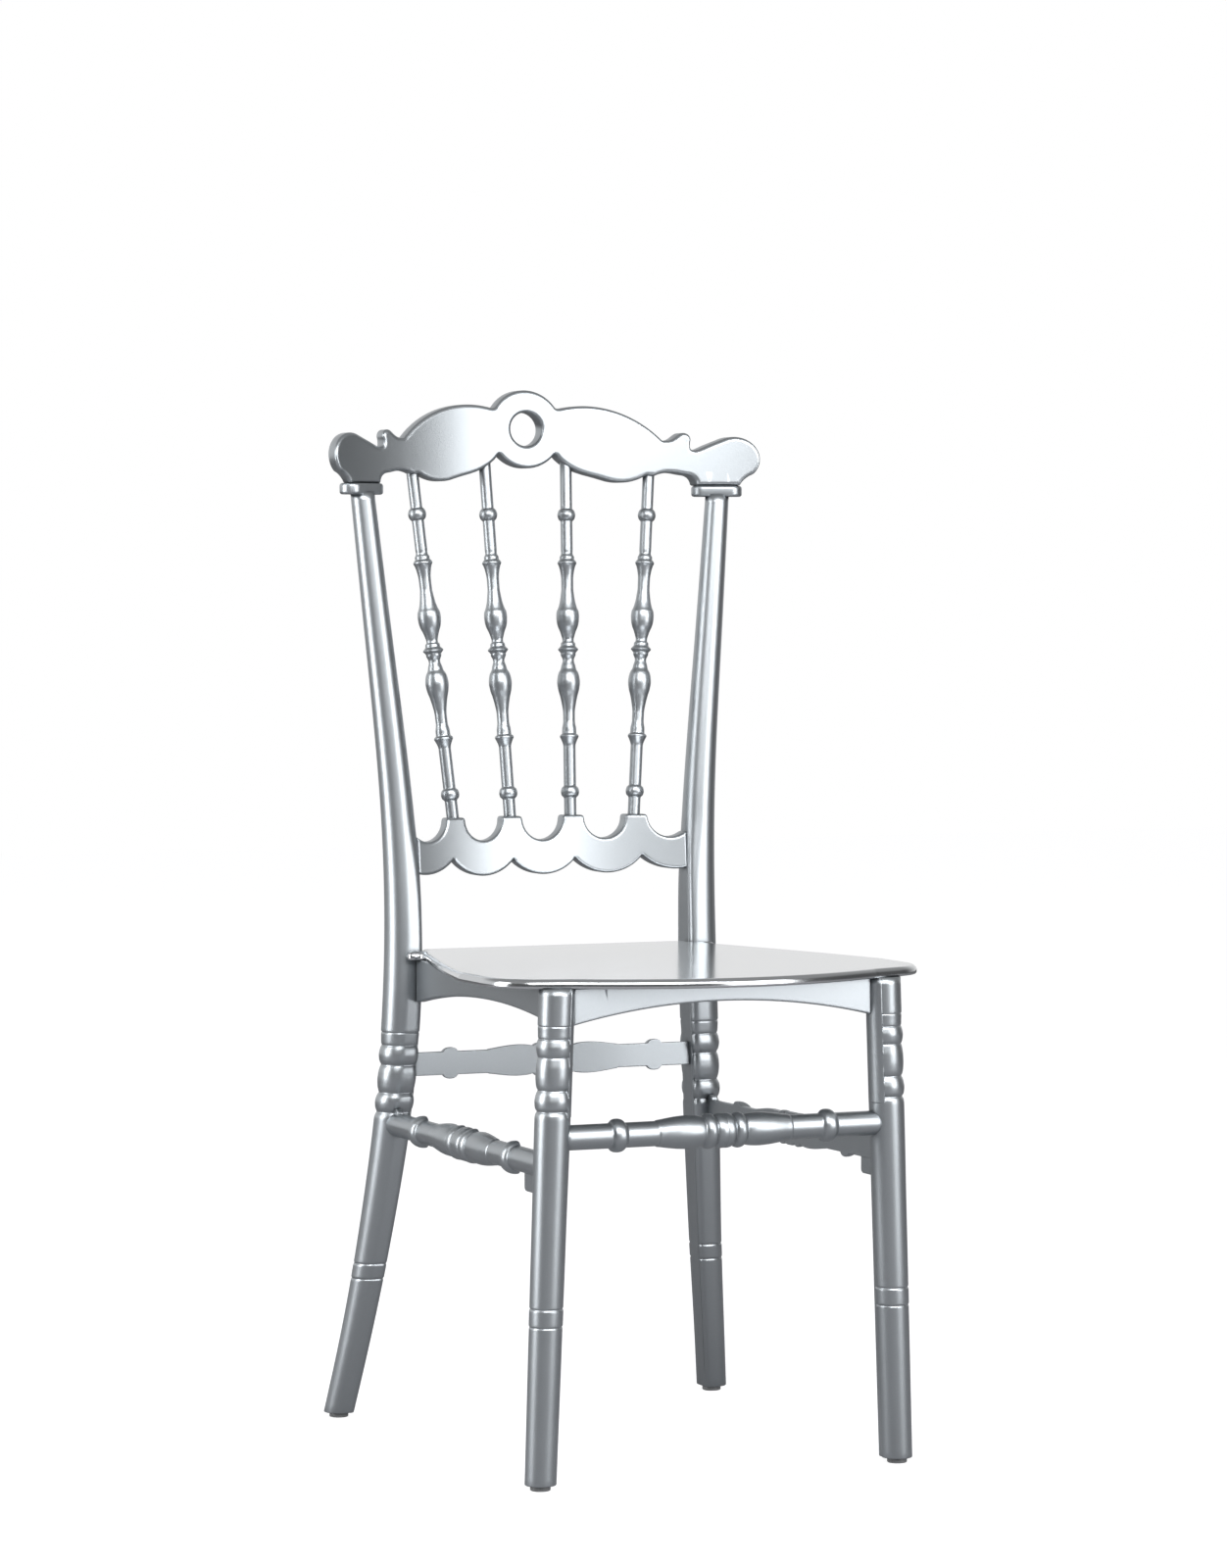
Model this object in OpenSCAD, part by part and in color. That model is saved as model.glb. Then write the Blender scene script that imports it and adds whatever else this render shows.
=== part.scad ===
// Spindle-back stacking banquet chair in moulded resin.
// Millimetres, +Z up. The chair faces -Y, stands on z = 0, and x = 0 is its middle plane.

/* [Seat] */
// Height of the seat's flat top above the floor
seat_height = 422.5; // [418:0.5:430]
// Thickness of the seat panel
seat_thickness = 8; // [7:0.5:11]
// Half the seat width across its widest place, just behind the front corners
seat_half_width = 198.5; // [192:0.5:205]
// How far the middle of the front edge bows out ahead of the corners
seat_front_bow = 45; // [30:0.5:50]

/* [Aprons] */
// Depth of the front and rear aprons at the crown of their arch
cross_apron_crown = 15; // [12:1:20]
// Depth of a side apron at the crown of its arch
side_apron_crown = 21; // [16:1:24]
// Thickness of the apron boards
apron_thickness = 9; // [7:0.5:10]

/* [Back] */
// Height of the top of the round lobe in the middle of the crest rail
crest_top = 918; // [914:1:922]
// Thickness of the crest rail
crest_thickness = 18; // [16:1:20]
// Diameter of the hole through the middle of the crest rail
crest_hole_d = 30; // [26:1:34]
// Thickness of the scalloped lower rail
rail_thickness = 15; // [14:1:16]
// Diameter of the plain rod of a back spindle
spindle_rod_d = 11; // [10:0.5:12]
// Diameter of the fullest part of a back spindle
spindle_swell_d = 20.6; // [18:0.2:22]

/* [Legs and stretchers] */
// Radius of a front leg where it meets the floor
front_leg_foot_r = 13.2; // [12.4:0.2:14]
// Radius of a front leg just under its turned part
front_leg_top_r = 14.8; // [14.2:0.2:15.4]
// Diameter of the plain length of a stretcher
stretcher_d = 21; // [19:0.5:22]
// Diameter of the beads and swells of a stretcher
stretcher_bead_d = 28; // [26:0.5:29]
// Diameter of the foot glides
glide_d = 17; // [15:0.5:19]

/* [Display] */

/* [Hidden] */
$fn = 64;
silver = [0.66, 0.67, 0.69];
pale_silver = [0.76, 0.77, 0.79];
dark_grey = [0.24, 0.25, 0.26];
steel = [0.55, 0.56, 0.58];

gap = 0.15;               // clearance all round a tenon, screw or pin
end_gap = 0.4;            // clearance between a crosspiece's end and a post
past = 1;                 // how far a cutter runs past the face it cuts
seat_under = seat_height - seat_thickness;

// Front legs lean out a little towards the floor
front_leg_y = -190.5;
front_leg_foot_x = 165;
front_leg_top_x = 149.9;
front_leg_lean = atan((front_leg_foot_x - front_leg_top_x) / seat_under);
inner_corner = 0.9;       // square inner back corner of a front leg, as a share of its foot radius

glide_height = 4.5;
glide_stem_d = 8;
glide_stem_length = 16;

// Back posts: [height, half spacing, depth, radius] at the stations of the centre line
post_line = [
    [glide_height, 184.4, 222.4, 13.6],
    [70, 174.6, 207.6, 14.0],
    [140, 165.0, 194.4, 14.8],
    [210, 157.0, 182.6, 15.8],
    [280, 150.3, 173.0, 16.7],
    [350, 145.8, 167.6, 17.2],
    [420, 143.2, 166.6, 17.0],
    [540, 146.4, 171.2, 14.7],
    [700, 160.6, 180.2, 12.2],
    [823, 172.2, 187.3, 10.7]
];
post_steps = 5;           // cross-sections drawn from one station to the next
post_sides = 24;          // corners round one cross-section
post_flat = 0.80;         // how far out the flat inner face stands, as a share of the radius
flat_top = 450;           // the flat fades away above this height
flat_fade = 400;
post_top = post_line[len(post_line) - 1][0];
turned_span = 4;          // the span of the centre line that carries the turned beads

// Crest rail: a board bent to a large radius, hollow side forward, leaning back
crest_radius = 415;
crest_mid_y = 228;
crest_lean = 4.6;
crest_foot = post_top + 10;
lobe_r = 35;
lobe_z = crest_top - lobe_r;

// Lower back rail, bent and leaning nearly the same way
rail_radius = 400;
rail_mid_y = 194.5;
rail_top = 537;
rail_lean = 5.7;
rail_tenon = [18, 8, 20];

// Collars sit on the posts and follow the bend of the crest rail
collar_length = 46;
collar_width = 21;
collar_height = crest_foot - post_top;
collar_turn = 24.5;
collar_at = [172.6, 189.2, post_top];
spigot_d = 9;
spigot_reach = 14;

// Spindles: foot and head of the centre line, right-hand side
inner_foot = [29.5, 193.2, rail_top];
inner_head = [39.6, 226.4, 850];
outer_foot = [88.3, 184.6, rail_top];
outer_head = [115.0, 211.8, 840];
spindle_tenon = 9;
spindle_middle = 148.3;   // height of the middle bead above the lower rail

// Stretchers run between the centre lines of the legs
front_stretcher_z = 291;
side_stretcher_z = 267.5;
rear_stretcher_z = 320;
front_leg_at_front = front_leg_foot_x - front_stretcher_z * tan(front_leg_lean);
front_leg_at_side = front_leg_foot_x - side_stretcher_z * tan(front_leg_lean);
post_at_side = [151.4, 174.5];
post_at_rear = [147.4, 169.3];
stretcher_back = 2;       // the flat inner face stands this far behind the centre line
front_lug = [45, 24.5];   // length and height of a side stretcher's taller end at the front leg
rear_lug = [23, 14.5];    // the same at the back post
lug_thickness = 6;
lug_corner_r = 4;
stretcher_tenon_d = 12;
stretcher_tenon_in = 7;   // a tenon starts this far from the leg's centre line
stretcher_tenon_l = 14;

// Screws and bolts
screw_d = 3.5;
screw_head_d = 7;
screw_head_h = 2.4;
screw_bite = 6;
bolt_d = 5;
bolt_head_d = 9;
bolt_head_h = 3.5;
bolt_length = 34;
bolt_drop = 13;
block_height = 23.5;
screw_places = [[116, -178], [110, 148]];
bolt_starts = [[123.2, -163], [116.5, 137.5]];
bolt_ends = [[149, -188.5], [143, 166]];

// ---------- shared curves and shapes ----------

// Points of an arc about centre c, from angle a0 to angle a1 in n steps
function arc(c, r, a0, a1, n = 8) =
    [for (i = [0:n]) let (a = a0 + (a1 - a0) * i / n) [c.x + r * cos(a), c.y + r * sin(a)]];

// Soft S-shaped passage from each [length, radius] station to the next
function eased(stations, steps = 3) = [
    for (i = [0:len(stations) - 2], s = [0:steps - 1])
        let (t = s / steps, p = stations[i], q = stations[i + 1], w = (1 - cos(180 * t)) / 2)
            [p[0] + (q[0] - p[0]) * t, p[1] + (q[1] - p[1]) * w],
    stations[len(stations) - 1]
];

// Smooth curve from p1 to p2, with neighbours p0 and p3
function between(p0, p1, p2, p3, t) =
    0.5 * (2 * p1 + (p2 - p0) * t + (2 * p0 - 5 * p1 + 4 * p2 - p3) * t * t
        + (3 * p1 - p0 - 3 * p2 + p3) * t * t * t);

// The same stations seen from the other end
function reversed(list) = [for (i = [len(list) - 1:-1:0]) list[i]];

// Solid of revolution about Z from [height, radius] pairs
module turned(profile) {
    rotate_extrude()
        polygon(concat(
            [[0, profile[0][0]]],
            [for (p = profile) [p[1], p[0]]],
            [[0, profile[len(profile) - 1][0]]]
        ));
}

// Draws its child, and once more mirrored to the chair's other side
module both_sides() {
    children();
    mirror([1, 0, 0])
        children();
}

// Places a child drawn along +Z so that it starts at a and points towards b
module along(a, b) {
    d = b - a;
    translate(a)
        rotate([0, acos(d.z / norm(d)), atan2(d.y, d.x)])
            children();
}

// Board bent about an upright axis and leaning back; its middle plane passes [0, mid_y, at_z]
module bent_board(mid_y, at_z, radius, thickness, lean, reach) {
    translate([0, mid_y, at_z])
        rotate([-lean, 0, 0])
            translate([0, -radius, -reach])
                difference() {
                    cylinder(h = 2 * reach, r = radius + thickness / 2, $fn = 180);
                    translate([0, 0, -past])
                        cylinder(h = 2 * (reach + past), r = radius - thickness / 2, $fn = 180);
                }
}

// Closed outline from its right half, whose first and last points lie on x = 0
function whole(half) = concat(half, [for (i = [len(half) - 2:-1:1]) [-half[i].x, half[i].y]]);

// Solid seen from the front as the outline with this right half, long enough to cut a back board
module front_cutout(half) {
    translate([0, 300, 0])
        rotate([90, 0, 0])
            linear_extrude(200)
                polygon(whole(half));
}

// ---------- seat panel ----------

seat_rear_y = 165.5;
seat_rear_half = 128;
ear = [143.5, 142.5];     // middle of the rounded ear in front of a back post
ear_r = 5.5;
waist_x = 137;
seat_corner_r = 51.5;
seat_corner_y = -146;
seat_front_y = -198.5;
seat_widest_y = -97;      // where the sides stop spreading
side_round = 0.24;        // share of the spread that follows a quarter sine wave

// Right half of the seat's plan
function seat_half() = concat(
    [[0, seat_rear_y], [seat_rear_half, seat_rear_y], [seat_rear_half, ear.y + ear_r]],
    arc(ear, ear_r, 90, -90, 6),
    [[waist_x + 2, ear.y - ear_r]],
    [for (t = [0:0.125:1])
        [waist_x + (seat_half_width - waist_x) * (side_round * sin(90 * t) + (1 - side_round) * t),
            ear.y - ear_r - 5 + (seat_widest_y - ear.y + ear_r + 5) * t]],
    arc([seat_half_width - seat_corner_r, seat_corner_y], seat_corner_r, 0, -68, 8),
    [for (t = [0.9:-0.15:0])
        [(seat_half_width - seat_corner_r) * t, seat_front_y - seat_front_bow * (1 - t * t)]],
    [[0, seat_front_y - seat_front_bow]]
);

module seat_panel() {
    color(pale_silver)
        difference() {
            translate([0, 0, seat_under])
                linear_extrude(seat_thickness)
                    polygon(whole(seat_half()));
            screws(gap);
        }
}

// ---------- aprons and corner blocks ----------

side_apron_front = [151.5, front_leg_y + 8];
side_apron_rear = [134.2, 148];
board_height = 44;

// Board standing under the seat, drawn along X; its lower edge is an arc crowned at x = middle
module apron_board(length, middle, radius, crown) {
    translate([0, apron_thickness / 2, seat_under - board_height])
        rotate([90, 0, 0])
            linear_extrude(apron_thickness)
                difference() {
                    square([length, board_height]);
                    translate([middle, board_height - crown - radius])
                        circle(radius, $fn = 360);
                }
}

module cross_apron(y, half) {
    translate([-half, y, 0])
        apron_board(2 * half, half, 590, cross_apron_crown);
}

module front_apron() {
    color(silver)
        difference() {
            cross_apron(front_leg_y, front_leg_top_x);
            both_sides()
                front_leg_core();
        }
}

module rear_apron() {
    color(silver)
        cross_apron(seat_rear_y - 7, post_inner(seat_under));
}

module side_apron_right() {
    d = side_apron_rear - side_apron_front;
    color(silver)
        difference() {
            translate([side_apron_front.x, side_apron_front.y, 0])
                rotate([0, 0, atan2(d.y, d.x)])
                    apron_board(norm(d), 130, 1200, side_apron_crown);
            front_leg_core();
        }
}

// Glued and screwed block in the corner between an apron, a side apron and a leg
module corner_block(plan) {
    color(dark_grey)
        difference() {
            translate([0, 0, seat_under - block_height])
                linear_extrude(block_height)
                    polygon(plan);
            side_apron_right();
            front_leg_stock();
            screws(gap);
            bolts(gap);
        }
}

module corner_block_front_right() {
    y = front_leg_y + apron_thickness / 2;
    corner_block([[100, y], [146.5, y], [144.6, -141], [142, -141]]);
}

module corner_block_rear_right() {
    y = seat_rear_y - 7 - apron_thickness / 2;
    corner_block([[96, y], [128.6, y], [128.6, 118], [126, 118]]);
}

// ---------- front legs ----------

// [height, radius] stations of a front leg's turned part
front_turning = [
    [0, front_leg_foot_r],
    [133, front_leg_foot_r + 0.7],
    [135.7, front_leg_foot_r + 0.1],
    [138.4, front_leg_foot_r + 0.7],
    [148, front_leg_foot_r + 0.8],
    [150.8, front_leg_foot_r + 0.2],
    [153.6, front_leg_foot_r + 0.8],
    [308, front_leg_top_r],
    [313.5, front_leg_top_r - 1.2],
    [322, front_leg_top_r],
    [331, front_leg_top_r - 1.4],
    [344, front_leg_top_r - 0.1],
    [358.3, front_leg_top_r - 1.1],
    [366, front_leg_top_r + 0.7],
    [373.4, front_leg_top_r - 0.4],
    [378.5, front_leg_top_r + 0.5],
    [384, front_leg_top_r - 0.3],
    [388, front_leg_top_r],
    [seat_under + 10, front_leg_top_r]
];

// The leg without its bores: turned round, with the inner back corner filled out square
module front_leg_stock() {
    side = inner_corner * front_leg_foot_r;
    intersection() {
        translate([front_leg_foot_x, front_leg_y, 0])
            rotate([0, -front_leg_lean, 0]) {
                turned(eased(front_turning));
                translate([-side, 0, 0])
                    cube([side, side, seat_under + 10]);
            }
        translate([front_leg_foot_x - 60, front_leg_y - 40, glide_height])
            cube([100, 80, seat_under - glide_height]);
    }
}

// Plain round cutter that copes an apron's end to the leg
module front_leg_core() {
    translate([front_leg_foot_x, front_leg_y, 0])
        rotate([0, -front_leg_lean, 0])
            translate([0, 0, seat_under - 2 * board_height])
                cylinder(h = 3 * board_height, r = front_leg_top_r + gap);
}

module front_leg_right() {
    color(silver)
        difference() {
            front_leg_stock();
            glide_stem([front_leg_foot_x, front_leg_y], gap);
            front_stretcher_tenons(gap);
            side_stretcher_tenons(gap);
            bolts(gap);
        }
}

// ---------- back posts ----------

// Depth, at height z, of a turned groove of a given half width centred at height g
function groove(z, g, depth, half) =
    abs(z - g) < half ? depth * (1 + cos(180 * (z - g) / half)) / 2 : 0;

// How much the turned grooves take off a back leg's radius at height z
function post_carve(z) =
    groove(z, 278.5, 1.6, 5) + groove(z, 295.5, 2.2, 8) + groove(z, 320.5, 2.0, 9)
    + groove(z, 338, 1.4, 6) + groove(z, 349.5, 0.8, 4);

// Where the flat inner face stands at height z, as a share of the radius
function flat_share(z) = z < flat_top ? post_flat : min(1, post_flat + (z - flat_top) / flat_fade);

// Heights of the drawn cross-sections, closer together over the turned beads
post_heights = [
    for (i = [0:len(post_line) - 2])
        let (
            low = post_line[i][0],
            rise = post_line[i + 1][0] - low,
            steps = i == turned_span ? 5 * post_steps : post_steps
        )
            each [for (s = [0:steps - 1]) low + rise * s / steps],
    post_top
];

function station_below(z, i = 0) =
    i >= len(post_line) - 2 || post_line[i + 1][0] > z ? i : station_below(z, i + 1);

// [height, half spacing, depth, radius] of the post read at height z
function post_point(z) =
    let (
        i = station_below(z),
        n = len(post_line) - 1,
        t = (z - post_line[i][0]) / (post_line[i + 1][0] - post_line[i][0])
    )
        between(post_line[max(i - 1, 0)], post_line[i], post_line[i + 1], post_line[min(i + 2, n)], t);

// One cross-section: a circle with a flat towards the chair's middle
function post_ring(z) =
    let (p = post_point(z), r = p[3] - post_carve(z), flat = flat_share(z) * p[3])
        [for (k = [0:post_sides - 1])
            let (a = 360 * k / post_sides)
                [p[1] + max(r * cos(a), -flat), p[2] + r * sin(a), z]];

// Half the clear width between the flat inner faces of the posts, near height z
function post_inner(z) = let (p = post_point(z)) p[1] - flat_share(z) * p[3] - end_gap;

// The right-hand post without its bores
module post_skin() {
    n = post_sides;
    m = len(post_heights);
    polyhedron(
        points = [for (z = post_heights) each post_ring(z)],
        faces = concat(
            [[for (k = [0:n - 1]) k]],
            [for (i = [0:m - 2], k = [0:n - 1])
                [i * n + k, (i + 1) * n + k, (i + 1) * n + (k + 1) % n]],
            [for (i = [0:m - 2], k = [0:n - 1])
                [i * n + k, (i + 1) * n + (k + 1) % n, i * n + (k + 1) % n]],
            [[for (k = [n - 1:-1:0]) (m - 1) * n + k]]
        )
    );
}

module spigot(grow = 0) {
    translate([collar_at.x, collar_at.y, post_top - 4])
        cylinder(h = 4 + collar_height + spigot_reach + grow, d = spigot_d + 2 * grow);
}

module back_post_right() {
    color(silver) {
        difference() {
            post_skin();
            glide_stem([post_line[0][1], post_line[0][2]], gap);
            side_stretcher_tenons(gap);
            rear_stretcher_tenons(gap);
            rail_tenons(gap);
            bolts(gap);
        }
        spigot();
    }
}

// ---------- collars, crest rail and lower back rail ----------

module collar_right() {
    color(pale_silver)
        difference() {
            translate(collar_at)
                rotate([0, 0, -collar_turn])
                    linear_extrude(collar_height) {
                        square([collar_length - collar_width, collar_width], center = true);
                        for (s = [-1, 1])
                            translate([s * (collar_length - collar_width) / 2, 0])
                                circle(d = collar_width);
                    }
            spigot(gap);
        }
}

// Right half of the crest rail's outline, as x and height
function crest_half() = concat(
    arc([0, lobe_z], lobe_r, 90, 33, 8),
    arc([56, crest_top - 107.5], 94, 104, 42, 10),
    [[128, 873.8], [133, 874.6]],
    arc([144, 874.8], 6, 120, -20, 6),
    [[149.5, 868], [150.5, 865.5], [154, 865], [162, 868.6], [170, 872.3]],
    arc([186, 857.2], 20, 114, -42, 12),
    [[193, 839], [189, crest_foot], [154, crest_foot]],
    arc([145, 834], 8, 0, 80, 4),
    [[137, 843], [128, 844.4], [118, 841.8]],
    arc([88, 877], 41.4, -55, -126, 10),
    [[44, 847], [33, 853.5], [27, 859.5]],
    arc([0, lobe_z], lobe_r, -48, -90, 6)
);

module crest_rail() {
    color(pale_silver)
        difference() {
            intersection() {
                bent_board(crest_mid_y, crest_foot, crest_radius, crest_thickness, crest_lean, 110);
                front_cutout(crest_half());
            }
            translate([0, crest_mid_y, lobe_z])
                rotate([90, 0, 0])
                    cylinder(h = 80, d = crest_hole_d, center = true);
            spindle_rods(gap);
            both_sides()
                spigot(gap);
        }
}

scallop_r = 19;
pad_drop = 2;
rail_middle_z = 505;
rail_end = post_inner(rail_middle_z);

// Right half of the lower rail's outline: scallops above, waves below
function rail_half_outline() = concat(
    arc([0, rail_top - pad_drop], scallop_r + 1, -90, 0, 8),
    [[20, rail_top], [40, rail_top]],
    arc([59, rail_top - pad_drop], scallop_r, 180, 360, 12),
    [[78, rail_top], [98, rail_top]],
    arc([117.5, rail_top - 1], scallop_r + 0.5, 180, 307, 10),
    [[rail_end, 520], [rail_end, 489]],
    arc([121, 528], 40.4, -79, -137, 6),
    arc([60.3, 525.1], 40.4, -40, -140, 10),
    arc([0, 525], 40.4, -43.6, -90, 6)
);

module rail_body() {
    intersection() {
        bent_board(rail_mid_y, rail_top, rail_radius, rail_thickness, rail_lean, 80);
        front_cutout(rail_half_outline());
    }
}

// Tenons that hold the lower rail in the posts
module rail_tenons(grow = 0) {
    both_sides()
        translate([rail_end, 170.2, rail_middle_z])
            cube(rail_tenon + 2 * grow * [1, 1, 1], center = true);
}

module back_rail() {
    color(pale_silver) {
        difference() {
            rail_body();
            spindle_rods(gap);
        }
        rail_tenons();
    }
}

// ---------- spindles ----------

// [distance from the middle bead, radius] of the turned part, upper half
spindle_turning = [
    [0, 9.1], [3.4, 6.6], [5, 6.6], [7.4, 5.2], [10.4, 5.2], [13.4, 6.3], [15.2, 6.5],
    [21, spindle_swell_d / 2 - 1.3], [29.5, spindle_swell_d / 2], [37.5, spindle_swell_d / 2 - 2],
    [48, 6.2], [60, spindle_rod_d / 2 - 0.1], [70, 6.2], [77.7, 8.5], [80, 6.5], [83, 6.7],
    [86.5, 5.1], [89, spindle_rod_d / 2]
];
lower_bead = -128;
upper_bead = 121;
bead_half = 5.5;
bead_r = 8.2;

// Small bead on the plain rod
function small_bead(at) =
    let (rod = spindle_rod_d / 2)
        [[at - bead_half, rod], [at, bead_r], [at + bead_half, rod]];

module spindle(foot, head) {
    rod = spindle_rod_d / 2;
    k = norm(head - foot) / (head.z - foot.z);
    stations = concat(
        [[-spindle_middle - spindle_tenon, rod]],
        small_bead(lower_bead),
        [for (s = reversed(spindle_turning)) [-s[0], s[1]]],
        [for (i = [1:len(spindle_turning) - 1]) spindle_turning[i]],
        small_bead(upper_bead),
        [[head.z - foot.z - spindle_middle + spindle_tenon, rod]]
    );
    color(silver)
        along(foot, head)
            turned([for (s = eased(stations)) [k * (s[0] + spindle_middle), s[1]]]);
}

// Plain rods along all four spindles, for boring their sockets
module spindle_rods(grow) {
    both_sides()
        for (ends = [[inner_foot, inner_head], [outer_foot, outer_head]])
            let (reach = spindle_tenon + past, length = norm(ends[1] - ends[0]))
                along(ends[0], ends[1])
                    translate([0, 0, -reach])
                        rotate(90)
                            cylinder(h = length + 2 * reach, d = spindle_rod_d + 2 * grow);
}

// ---------- stretchers ----------

// [distance from the middle, radius] of a stretcher's turning; spread stretches the lengths
function stretcher_turning(half, spread) =
    let (tube = stretcher_d / 2, bead = stretcher_bead_d / 2)
        concat(
            [for (s = [[0, bead + 0.7], [7, bead + 0.4], [8.4, bead - 0.7], [13.6, bead + 1],
                [18.8, bead - 1], [20, bead - 0.6], [33, bead], [46, bead - 1.5], [60, tube + 0.4],
                [62, tube], [90, tube], [96.5, bead], [103, tube]]) [s[0] * spread, s[1]]],
            [[half, tube]]
        );

// Stretcher along X, flat on its +Y side, running half a length each way
module stretcher_body(half, spread) {
    upper = stretcher_turning(half, spread);
    whole = concat(
        [for (s = reversed(upper)) [-s[0], s[1]]],
        [for (i = [1:len(upper) - 1]) upper[i]]
    );
    intersection() {
        rotate([0, 90, 0])
            turned(eased(whole));
        translate([-half, stretcher_back - 2 * stretcher_bead_d, -stretcher_bead_d])
            cube([2 * half, 2 * stretcher_bead_d, 2 * stretcher_bead_d]);
    }
}

module tenon_between(a, b, grow) {
    both_ends = [[a, b], [b, a]];
    for (e = both_ends)
        along(e[0], e[1])
            translate([0, 0, stretcher_tenon_in - grow])
                cylinder(h = stretcher_tenon_l + grow, d = stretcher_tenon_d + 2 * grow);
}

module front_stretcher_tenons(grow = 0) {
    x = front_leg_at_front;
    tenon_between([-x, front_leg_y, front_stretcher_z], [x, front_leg_y, front_stretcher_z], grow);
}

module rear_stretcher_tenons(grow = 0) {
    p = post_at_rear;
    tenon_between([-p.x, p.y, rear_stretcher_z], [p.x, p.y, rear_stretcher_z], grow);
}

side_from = [front_leg_at_side, front_leg_y, side_stretcher_z];
side_to = [post_at_side.x, post_at_side.y, side_stretcher_z];

module side_stretcher_tenons(grow = 0) {
    tenon_between(side_from, side_to, grow);
}

module front_stretcher() {
    color(pale_silver) {
        difference() {
            translate([0, front_leg_y, front_stretcher_z])
                stretcher_body(front_leg_at_front - 2, 1);
            both_sides()
                front_leg_stock();
        }
        front_stretcher_tenons();
    }
}

module rear_stretcher() {
    color(silver) {
        translate([0, post_at_rear.y, rear_stretcher_z])
            mirror([0, 1, 0])
                stretcher_body(post_inner(rear_stretcher_z), 1.03);
        rear_stretcher_tenons();
    }
}

// Round cutter that copes a stretcher's end to the leaning post
module post_core() {
    low = post_point(side_stretcher_z - stretcher_bead_d);
    high = post_point(side_stretcher_z + stretcher_bead_d);
    along([low[1], low[2], low[0]], [high[1], high[2], high[0]])
        cylinder(h = 2 * stretcher_bead_d, r = post_point(side_stretcher_z)[3] + end_gap);
}

// Taller end of a side stretcher's flat face, size.x long and reaching size.y down, at x = -half
module stretcher_lug(half, size) {
    translate([-half, stretcher_back, 0])
        rotate([90, 0, 0])
            linear_extrude(lug_thickness)
                polygon(concat(
                    [[0, 0], [0, -size.y]],
                    arc([size.x - lug_corner_r, lug_corner_r - size.y], lug_corner_r, -90, 0, 6),
                    [[size.x, 0]]
                ));
}

module side_stretcher_right() {
    d = side_to - side_from;
    half = norm(d) / 2 - 2;
    color(silver) {
        difference() {
            translate((side_from + side_to) / 2)
                rotate([0, 0, atan2(d.y, d.x)]) {
                    stretcher_body(half, 1.09);
                    stretcher_lug(half, front_lug);
                    rotate([0, 180, 0])
                        stretcher_lug(half, rear_lug);
                }
            front_leg_stock();
            post_core();
        }
        side_stretcher_tenons();
    }
}

// ---------- glides, screws and bolts ----------

module glide_stem(at, grow = 0) {
    translate([at.x, at.y, glide_height - past])
        cylinder(h = glide_stem_length + past + grow, d = glide_stem_d + 2 * grow);
}

module glide(at) {
    color(dark_grey) {
        translate([at.x, at.y, 0])
            turned([[0, glide_d / 2 - 1], [1, glide_d / 2], [glide_height, glide_d / 2]]);
        glide_stem(at);
    }
}

module glide_front_right() {
    glide([front_leg_foot_x, front_leg_y]);
}

module glide_rear_right() {
    glide([post_line[0][1], post_line[0][2]]);
}

// Screws that rise through the corner blocks into the seat
module screws(grow = 0) {
    both_sides()
        for (p = screw_places)
            translate([p.x, p.y, seat_under - block_height - screw_head_h]) {
                cylinder(h = screw_head_h, d = screw_head_d + 2 * grow);
                cylinder(h = screw_head_h + block_height + screw_bite + grow, d = screw_d + 2 * grow);
            }
}

// Bolts that pull the corner blocks against the legs
module bolts(grow = 0) {
    z = seat_under - bolt_drop;
    both_sides()
        for (i = [0:1])
            along([bolt_starts[i].x, bolt_starts[i].y, z], [bolt_ends[i].x, bolt_ends[i].y, z]) {
                translate([0, 0, -bolt_head_h - 10 * grow])
                    cylinder(h = bolt_head_h + 10 * grow, d = bolt_head_d + 2 * grow);
                cylinder(h = bolt_length + grow, d = bolt_d + 2 * grow);
            }
}

module seat_screws() {
    color(steel)
        screws();
}

module leg_bolts() {
    color(steel)
        bolts();
}

// ---------- pieces set in place ----------

module mirrored() {
    mirror([1, 0, 0])
        children();
}

seat_panel();
front_apron();
rear_apron();
mirrored() side_apron_right();  // side_apron_left
side_apron_right();
mirrored() corner_block_front_right();  // corner_block_front_left
corner_block_front_right();
mirrored() corner_block_rear_right();  // corner_block_rear_left
corner_block_rear_right();
mirrored() front_leg_right();  // front_leg_left
front_leg_right();
mirrored() back_post_right();  // back_post_left
back_post_right();
mirrored() collar_right();  // collar_left
collar_right();
crest_rail();
back_rail();
mirrored() spindle(outer_foot, outer_head);  // spindle_outer_left
mirrored() spindle(inner_foot, inner_head);  // spindle_inner_left
spindle(inner_foot, inner_head);  // spindle_inner_right
spindle(outer_foot, outer_head);  // spindle_outer_right
front_stretcher();
mirrored() side_stretcher_right();  // side_stretcher_left
side_stretcher_right();
rear_stretcher();
mirrored() glide_front_right();  // glide_front_left
glide_front_right();
mirrored() glide_rear_right();  // glide_rear_left
glide_rear_right();
seat_screws();
leg_bolts();
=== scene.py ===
"""Spindle-back banquet chair in silver-painted moulded resin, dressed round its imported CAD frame."""

import logging
import math
from collections.abc import Callable, Sequence
from dataclasses import dataclass, field
from enum import Enum

import bpy
import numpy as np
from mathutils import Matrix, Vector, geometry


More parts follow.
